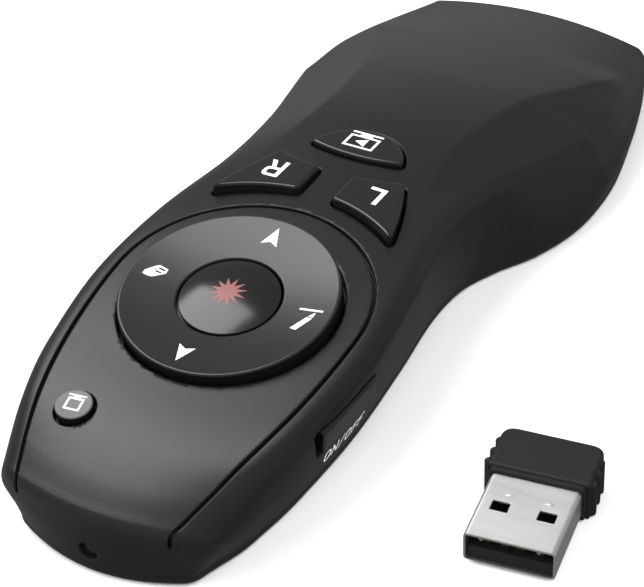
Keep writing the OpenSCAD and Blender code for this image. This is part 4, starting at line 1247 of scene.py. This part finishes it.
receiverShape = {"x": 46.9, "y": -13.0, "turn": 7.5}
plugShape = {
    "width": 12.0,
    "thickness": 4.5,
    "length": 12.4,
    "tail": 3.0,
    "sheet": 0.3,
    "radius": 0.7,
    "innerRadius": 0.4,
    "edge": 0.08,
    "window": (2.3, 1.75, 0.15, 4),
    "windowPlace": (3.08, 6.05),
    "windowLip": 0.12,
    "windowDepth": 7.0,
    "markPlaces": [(-2.45, 8.3), (2.75, 8.3)],
    "markSize": (0.55, 0.22),
    "markRise": 0.1,
    "tabPlaces": [(-3.75, 0.3), (3.75, 0.3)],
    "tabSize": (0.42, 0.26),
    "tabRise": -0.75,
    "tabSink": 0.02,
}
hubShape = {
    "width": 13.8,
    "length": 7.9,
    "thickness": 6.0,
    "edge": 0.5,
    "corners": (0.4, 2.0, 2.0, 0.4),
    "leastCorner": 0.05,
    "footInsets": (0.5, 0.06),
    "ribCount": 3,
    "ribRadius": 0.75,
    "ribPitch": 2.1,
    "ribFirst": 1.1,
    "ribIn": 0.15,
    "ribStep": 0.08,
    "ribEnds": (0.35, 0.55),
    "ribEdge": 0.2,
    "collar": 0.9,
    "collarEnds": (-0.7, 1.0, 0.15),
    "hollow": 0.06,
    "hollowEnds": (5.0, 17.9),
}


def receiverPlace(points):
    # from the receiver, drawn along Y from the mouth of its plug, to where it lies
    return turned(points, turn=receiverShape["turn"], origin=(receiverShape["x"], receiverShape["y"], 0))


def plugPlace(points):
    # from (across, up from the plug's middle, along the plug)
    return receiverPlace(points[..., [0, 2, 1]] + [0, 0, hubShape["thickness"] / 2])


def plugTube(name, outline, start, end, edge=0.0):
    # a flat outline (across, up) carried along the plug, with its two ends softened by edge
    small = outline - outwardNormals(outline) * edge
    levels = [(small, start), (outline, start + edge), (outline, end - edge), (small, end)]
    return stacked(name, levels, plugPlace)


def dimple(centre, size, height, rise, steps=32):
    # an elliptical dome pressed out of the sheet; its height falls with the square of the distance
    outline = circleOutline(1.0, steps=steps) * size
    profile = [(1.0, -0.1 / abs(rise)), (1.0, 0), (0.85, 0.28), (0.65, 0.58), (0.4, 0.84), (0.15, 0.98)]
    levels = [(outline * share + centre, height + up * rise) for share, up in profile]
    return stacked("dimple", levels, receiverPlace, plates=False)


def makePlug():
    # a folded tube with two windows, two pressed marks behind them and two tabs in its mouth
    p = plugShape
    outer = roundedRectangle(p["width"], p["thickness"], p["radius"])
    inner = roundedRectangle(p["width"] - 2 * p["sheet"], p["thickness"] - 2 * p["sheet"], p["innerRadius"])
    end = p["length"] + p["tail"]
    shell = plugTube("receiverPlug", outer, 0.0, end, p["edge"])
    carve(shell, [plugTube("plugHollow", inner, -1.0, end + beyond / 2)])
    top = (hubShape["thickness"] + p["thickness"]) / 2
    windows = []
    for side in (-1, 1):
        outline = roundedRectangle(*p["window"]) + np.array([side, 1]) * p["windowPlace"]
        window = flaredTool("plugWindow", outline, top, p["windowDepth"], receiverPlace, p["windowLip"])
        windows.append(window)
    carve(shell, windows)
    added = [dimple(place, p["markSize"], top, p["markRise"]) for place in p["markPlaces"]]
    under = top - p["sheet"] + p["tabSink"]
    added += [dimple(place, p["tabSize"], under, p["tabRise"]) for place in p["tabPlaces"]]
    joinPieces(shell, added)
    finishPiece(shell, "receiver", plugSteel, "receiver_plug", flat=True)


def hubOutline(inset):
    # the hub's plan outline, set in by a distance
    near = plugShape["length"]
    w, far = hubShape["width"] / 2 - inset, near + hubShape["length"] - inset
    radii = [max(radius - inset, hubShape["leastCorner"]) for radius in hubShape["corners"]]
    sides = polygonSides(rectangle((-w, near + inset), (w, far)))
    return softOutline(sides, radii, sideSteps=24, cornerSteps=10)


def makeHub():
    # hub outlines stacked with rounded edges, ribs and a collar added, and the plug hollowed out
    h, p = hubShape, plugShape
    thickness, edge = h["thickness"], h["edge"]
    levels = [(edge + inset, 0.0) for inset in h["footInsets"]] + quarterLevels(edge)
    levels += [(d, thickness - z) for d, z in levels[::-1]]
    hub = stacked("receiverHousing", [(hubOutline(d), z) for d, z in levels], receiverPlace, plates=False)
    added = []
    for side in (-1, 1):
        for i in range(h["ribCount"]):
            x = side * (h["width"] / 2 - h["ribIn"] - h["ribStep"] * i)
            centre = (x, p["length"] + h["ribFirst"] + i * h["ribPitch"])
            small, full = (circleOutline(h["ribRadius"] - d, centre, 32) for d in (h["ribEdge"], 0))
            ribLevels = [(small, h["ribEnds"][0]), (full, h["ribEnds"][1])]
            ribLevels += [(flat, thickness - z) for flat, z in ribLevels[::-1]]
            added.append(stacked("rib", ribLevels, receiverPlace))
    outline = roundedRectangle(p["width"] + h["collar"], p["thickness"] + h["collar"], p["radius"])
    start, end, collarEdge = h["collarEnds"]
    added.append(plugTube("collar", outline, p["length"] + start, p["length"] + end, collarEdge))
    carve(hub, added, "UNION")
    hollow = roundedRectangle(p["width"] + h["hollow"], p["thickness"] + h["hollow"], p["radius"])
    carve(hub, [plugTube("hubHollow", hollow, *h["hollowEnds"])])
    finishPiece(hub, "receiver", plastics["receiver"], "receiver_housing", flat=True)


makePlug()
makeHub()
print("receiver made")


def byRadius(heightAt):
    # a height that depends on the distance from the middle alone, as one over flat points
    return lambda flat: heightAt(np.hypot(flat[:, 0], flat[:, 1]))


# what a printing on each body lies on: the height over its flat outline, and where those points stand
printedOn = {
    "ring": (byRadius(dishHeight), dialPlace),
    "centre_button": (byRadius(buttonHeight), dialPlace),
    "round_key": (byRadius(roundKeyHeight), roundKeyPlace),
    "left_key": (keyTop, asIs),
    "right_key": (keyTop, asIs),
    "show_key": (keyTop, asIs),
    "body": (lambda flat: sideSurface(flat[:, 0], flat[:, 1]), lambda points: points[..., [2, 0, 1]]),
}
inks = {"white": plastics["legend"], "red": plastics["legendRed"]}


def bar(start, end, width):
    # a straight stroke with square ends
    a, b = np.array([start, end], float)
    along = unit(b - a) * width / 2
    side = np.array([-along[1], along[0]])
    return np.array([a - along - side, b + along - side, b + along + side, a - along + side])


def oval(centre, halfWidth, halfHeight, power=2.4, steps=28):
    # a superellipse outline
    a = np.linspace(0, 2 * np.pi, steps, endpoint=False)
    flat = np.stack([np.cos(a), np.sin(a)], -1)
    return np.sign(flat) * np.abs(flat) ** (2 / power) * [halfWidth, halfHeight] + centre


def insideOutline(points, outline):
    # even-odd test of many points against one closed outline
    x, y = points[:, :1], points[:, 1:]
    x1, y1 = outline[:, 0], outline[:, 1]
    x2, y2 = np.roll(x1, -1), np.roll(y1, -1)
    crosses = (y1 > y) != (y2 > y)
    level = np.where(y2 == y1, 1e-9, y2 - y1)
    return (crosses & (x < (x2 - x1) * (y - y1) / level + x1)).sum(1) % 2 == 1


def flatTriangles(solids, holes, grid, offGrid=0.013):
    # points and triangles of a printing: the outlines' own points and a lattice between them are joined
    # into triangles, which are kept where they fall in a solid and in no hole
    points, edges = [], []
    for outline in [*solids, *holes]:
        first = len(points)
        for a, b in zip(outline, np.roll(outline, -1, 0)):
            steps = max(1, int(np.linalg.norm(b - a) / grid))
            points += (a + (b - a) * np.linspace(0, 1, steps, endpoint=False)[:, None]).tolist()
        count = len(points) - first
        edges += [(first + i, first + (i + 1) % count) for i in range(count)]
    low, high = np.min(points, 0), np.max(points, 0)
    lattice = np.meshgrid(np.arange(low[0], high[0], grid), np.arange(low[1], high[1], grid))
    points += (np.stack(lattice, -1).reshape(-1, 2) + offGrid).tolist()
    flat, _, triangles, _, _, _ = delaunay_2d_cdt([Vector(p) for p in points], edges, [], 0, 1e-6)
    flat, triangles = np.array([tuple(v) for v in flat]), np.array(triangles)
    middle = flat[triangles].mean(1)
    keep = np.any([insideOutline(middle, outline) for outline in solids], axis=0)
    for outline in holes:
        keep &= ~insideOutline(middle, outline)
    used, again = np.unique(triangles[keep], return_inverse=True)
    return flat[used], again.reshape(-1, 3)


def legend(name, body, solids, holes=(), ink="white", grid=0.35, lift=0.015, depth=0.03):
    # a thin closed printing that lies on a surface: its triangles, a second side, and the rim between them
    heightOf, place = printedOn[body]
    flat, triangles = flatTriangles(solids, holes, grid)
    sides = np.concatenate([triangles[:, [0, 1]], triangles[:, [1, 2]], triangles[:, [2, 0]]])
    codes = sides.min(1) * len(flat) + sides.max(1)
    _, back, counts = np.unique(codes, return_inverse=True, return_counts=True)
    rim = sides[counts[back] == 1]
    points = [place(raised(flat, heightOf(flat) + up)) for up in (lift, lift - depth)]
    n = len(flat)
    faces = triangles.tolist() + (triangles[:, ::-1] + n).tolist()
    faces += np.stack([rim[:, 1], rim[:, 0], rim[:, 0] + n, rim[:, 1] + n], -1).tolist()
    piece = outwards(meshObject(name, np.concatenate(points), faces))
    finishPiece(piece, body, inks[ink], angle=50)


def fromPalm(outlines, centre):
    # outlines drawn with x to the right and y up, on a key that is read from the palm end
    return [np.asarray(centre) - outline for outline in outlines]


iconShape = {
    "arrow": [(0, 13.45), (-1.22, 10.35), (0, 10.95), (1.22, 10.35)],
    "arrowBackMove": (0.2, 0),
    "arrowFrontMove": (-0.35, 0.15),
    "pencilLine": ((10.1, 1.4), (13.1, 1.72), 0.32),
    "pencilBody": [(10.4, -2.25), (11.3, -2.35), (12.45, 0.2), (11.6, 0.2)],
    "pencilNib": [(11.7, 0.38), (12.45, 0.38), (12.42, 1.35)],
    "eraser": [
        (-12.9, -1.04), (-12.2, -1.12), (-11.5, -1.04), (-10.71, -0.35), (-10.04, 0.27), (-10.08, 1.06),
        (-11.45, 1.27), (-11.86, 0.98), (-12.4, 0.3), (-12.92, -0.4),
    ],
    "eraserHoles": [
        [(-11.4, 0.62), (-10.28, 0.5), (-10.38, 0.85), (-11.28, 0.93)],
        [(-11.62, -0.04), (-10.72, -0.04), (-10.5, 0.2), (-11.42, 0.3)],
        [(-11.87, 0.37), (-11.66, 0.18), (-11.54, 0.36), (-11.7, 0.56)],
    ],
    "burst": (2.7, 1.25),
    "burstPoints": 12,
    "burstTurn": -0.06,
    "burstMove": (-0.14, -0.03),
    "play": [(1.0, 0.0), (-0.75, 1.0), (-0.75, -1.0)],
    "frameOut": ((-2.4, -1.6), (2.4, 1.6)),
    "frameIn": ((-2.02, -1.22), (2.02, 1.22)),
    "rail": ((-2.45, -2.55), (2.45, -2.15)),
    "hanger": [(-1.1, -1.6), (-0.7, -2.2), (0.7, -2.2), (1.1, -1.6)],
    "screenCentre": (-0.42, 38.3),
    "blankSize": 0.46,
    "blankTurn": 7.0,
    "blankStretch": [(1.02, 1.42), (1.1, 1.33), (1.1, 1.38), (0.9, 1.36)],
}
letterShape = {
    "rCentre": (-8.05, 26.7),
    "lCentre": (7.72, 26.75),
    # centre, half width, half height and power of each oval
    "bowl": ((0.08, 0.95), 1.3, 1.2, 3.2),
    "bowlHole": ((0.12, 0.95), 0.72, 0.62, 3.0),
    "rStem": ((-1.35, -2.05), (-0.7, 2.15)),
    "rBars": [((-1.35, -0.25), (0.2, 0.33)), ((-1.35, 1.57), (0.2, 2.15))],
    "rHole": ((-0.7, 0.33), (0.2, 1.57)),
    "leg": [(-0.05, -0.1), (0.62, -0.1), (1.42, -2.05), (0.68, -2.05)],
    "lStem": ((-1.2, -2.0), (-0.52, 2.0)),
    "lFoot": ((-1.2, -2.0), (1.25, -1.35)),
}
wordShape = {
    "oval": ((0.8, 1.0), 0.78, 1.0),
    "ovalHole": ((0.8, 1.0), 0.52, 0.74),
    "pen": 0.26,
    "slashPen": 0.2,
    "nStrokes": [((0.15, 0.14), (0.15, 1.86)), ((1.35, 0.14), (1.35, 1.86)), ((0.2, 1.8), (1.3, 0.2))],
    "fStrokes": [((0.15, 0.14), (0.15, 1.86)), ((0.15, 1.86), (1.2, 1.86)), ((0.15, 1.05), (1.0, 1.05))],
    "slash": ((0.1, 0.0), (0.8, 2.0)),
    "places": [("O", 0), ("N", 1.9), ("/", 3.9), ("O", 5.2), ("F", 7.15), ("F", 8.85)],
    # the words' own x and y, each as (along the body, up)
    "axes": [(1.02, -0.07), (0, 1.05)],
    "start": (-9.6, 4.35),
}


def makeDialIcons():
    # two arrows, a pencil and an eraser round the ring, and a starburst on the button
    k = iconShape
    arrow = np.array(k["arrow"])
    legend("arrowBack", "ring", [arrow + k["arrowBackMove"]])
    legend("arrowFront", "ring", [arrow * [1, -1] + k["arrowFrontMove"]])
    legend("pencilIcon", "ring", [bar(*k["pencilLine"]), np.array(k["pencilBody"]), np.array(k["pencilNib"])])
    legend("eraserIcon", "ring", [np.array(k["eraser"])], [np.array(o) for o in k["eraserHoles"]], grid=0.25)
    reach = np.tile(k["burst"], k["burstPoints"])
    a = np.linspace(0, 2 * np.pi, len(reach), endpoint=False) + k["burstTurn"]
    burst = reach[:, None] * np.stack([np.cos(a), np.sin(a)], -1) + k["burstMove"]
    legend("laserBurst", "centre_button", [burst], ink="red")


def makeKeyLetters():
    # R: bowl, stem, its two bars and leg; L: stem and foot
    s = letterShape
    bars = [rectangle(*ends) for ends in (s["rStem"], *s["rBars"])]
    solids = fromPalm([oval(*s["bowl"]), *bars, np.array(s["leg"])], s["rCentre"])
    holes = [rectangle(*s["rHole"]), oval(*s["bowlHole"])]
    legend("letterR", "right_key", solids, fromPalm(holes, s["rCentre"]))
    legend("letterL", "left_key", fromPalm([rectangle(*s["lStem"]), rectangle(*s["lFoot"])], s["lCentre"]))


def makeScreenIcons():
    # a screen that hangs from its rail, on the slide show key and, smaller and turned, on the round key
    k = iconShape
    frameOut, rail, frameIn = (rectangle(*k[name]) for name in ("frameOut", "rail", "frameIn"))
    outlines = [frameOut, rail, np.array(k["hanger"]), frameIn]
    *solids, hole = fromPalm(outlines, k["screenCentre"])
    legend("screenIcon", "show_key", solids, [hole])
    legend("playIcon", "show_key", fromPalm([np.array(k["play"])], k["screenCentre"]))
    spin = -k["blankSize"] * np.array(Matrix.Rotation(math.radians(k["blankTurn"]), 2)).T
    *solids, hole = [outline * stretch @ spin for outline, stretch in zip(outlines, k["blankStretch"])]
    legend("blankIcon", "round_key", solids, [hole], grid=0.2)


def makeSwitchWords():
    # each letter shifted to its place, then all of them slanted along the side
    w = wordShape
    letters = {
        "O": ([oval(*w["oval"])], [oval(*w["ovalHole"])]),
        "N": ([bar(*ends, w["pen"]) for ends in w["nStrokes"]], []),
        "F": ([bar(*ends, w["pen"]) for ends in w["fStrokes"]], []),
        "/": ([bar(*w["slash"], w["slashPen"])], []),
    }
    solids, holes = [], []
    for letter, x in w["places"]:
        for source, target in zip(letters[letter], (solids, holes)):
            target += [(outline + [x, 0]) @ np.array(w["axes"]) + w["start"] for outline in source]
    legend("switchText", "body", solids, holes, grid=0.3)


makeDialIcons()
makeKeyLetters()
makeScreenIcons()
makeSwitchWords()
print("legends made")

# inner pieces keep their solids
innerPieces = [
    (screwSteel, ["case_screws", "tact_switches", "power_switch", "board_screws"]),
    (plastics["board"], ["main_board", "receiver_board"]),
    (plastics["chip"], ["board_chips", "receiver_tongue"]),
    (brass, ["laser_barrel"]),
    (windowDark, ["laser_window"]),
    (plastics["cell"], ["left_cell", "right_cell"]),
    (contactMetal, ["cell_springs", "cell_bridge", "receiver_contacts"]),
    (plastics["inner"], ["pivot_saddles", "rocker_frame"]),
]
for material, nodes in innerPieces:
    for node in nodes:
        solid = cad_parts[node]
        solid.data.materials.clear()
        solid.data.materials.append(material)

floorShape = {"size": 3000.0, "colour": (0.92, 0.92, 0.92), "roughness": 0.7}
worldShape = {"strength": 0.32, "below": 0.15, "fade": (-0.35, -0.13), "left": 0.8}
fill = dict(target=(10, 20, 0), size=(600, 420), glossy=False)
lightShapes = {
    "overheadSoftbox": dict(place=(-250, 80, 440), target=(0, 5, 15), size=(290, 394), power=1.85),
    "backSoftbox": dict(place=(-275, 480, 62), target=(0, 60, 10), size=(400, 84), power=0.04),
    "rightFill": dict(fill, place=(320, -180, 470), power=4.2),
    "leftFill": dict(fill, place=(-330, -300, 430), power=3.0),
}
cameraShape = {
    "right": (0.87669545, 0.47963204, -0.03685364),
    "down": (0.26872952, -0.55185683, -0.78945455),
    "ahead": (-0.39898562, 0.68220755, -0.61270166),
    "place": (126.68, -192.24, 196.8),
    "sensor": 36.0,
    "focalShare": 2200 / 644,
    "clip": (0.01, 10.0),
}


def makeFloor():
    # white paper under the object, left out of reflections
    half = floorShape["size"] / 2
    floor = meshObject("floor", raised(rectangle((-half, -half), (half, half)), 0), [(0, 1, 2, 3)])
    floor.data.materials.append(startMaterial("floorPaper", floorShape)[0])
    floor.visible_glossy = False


def softLight(name, place, target, size, power, glossy=True):
    # an area light at place that faces target, all in millimetres
    data = bpy.data.lights.new(name, "AREA")
    data.shape = "RECTANGLE"
    data.size, data.size_y = size[0] * mm, size[1] * mm
    data.energy = power
    lamp = linkObject(name, data)
    lamp.location = Vector(place) * mm
    lamp.rotation_euler = (Vector(target) - Vector(place)).to_track_quat("-Z", "Y").to_euler()
    lamp.visible_glossy = glossy


def makeCamera():
    # a camera from its three axes, its place, and its focal length over the width of its view
    c = cameraShape
    right, down, ahead = (Vector(c[k]) for k in ("right", "down", "ahead"))
    data = bpy.data.cameras.new("camera")
    data.sensor_width = c["sensor"]
    data.lens = c["sensor"] * c["focalShare"]
    data.clip_start, data.clip_end = c["clip"]
    camera = linkObject("camera", data)
    turn = Matrix((right, -down, -ahead)).transposed().to_4x4()
    camera.matrix_world = Matrix.Translation(Vector(c["place"]) * mm) @ turn
    bpy.context.scene.camera = camera


def makeWorld():
    # white light that falls off below the horizon, where a matt table would stand, and less so to the left
    w = worldShape
    world = bpy.data.worlds.new("studio")
    world.use_nodes = True
    tree = world.node_tree
    parts = addNode(tree, "SeparateXYZ", {"Vector": addNode(tree, "TexCoord").outputs["Generated"]}).outputs
    leftward = mathNode(tree, "MAXIMUM", mathNode(tree, "MULTIPLY", parts["X"], -w["left"]), 0.0)
    values = {
        "Value": mathNode(tree, "ADD", parts["Z"], leftward),
        "From Min": w["fade"][0],
        "From Max": w["fade"][1],
        "To Min": w["below"],
        "To Max": w["strength"],
    }
    falloff = addNode(tree, "MapRange", values, interpolation_type="SMOOTHSTEP")
    feed(tree, tree.nodes["Background"], {"Color": (1, 1, 1, 1), "Strength": falloff.outputs["Result"]})
    bpy.context.scene.world = world


makeFloor()
for name, shape in lightShapes.items():
    softLight(name, **shape)
makeCamera()
makeWorld()
bpy.context.scene.view_settings.view_transform = "Standard"
print("stage ready")
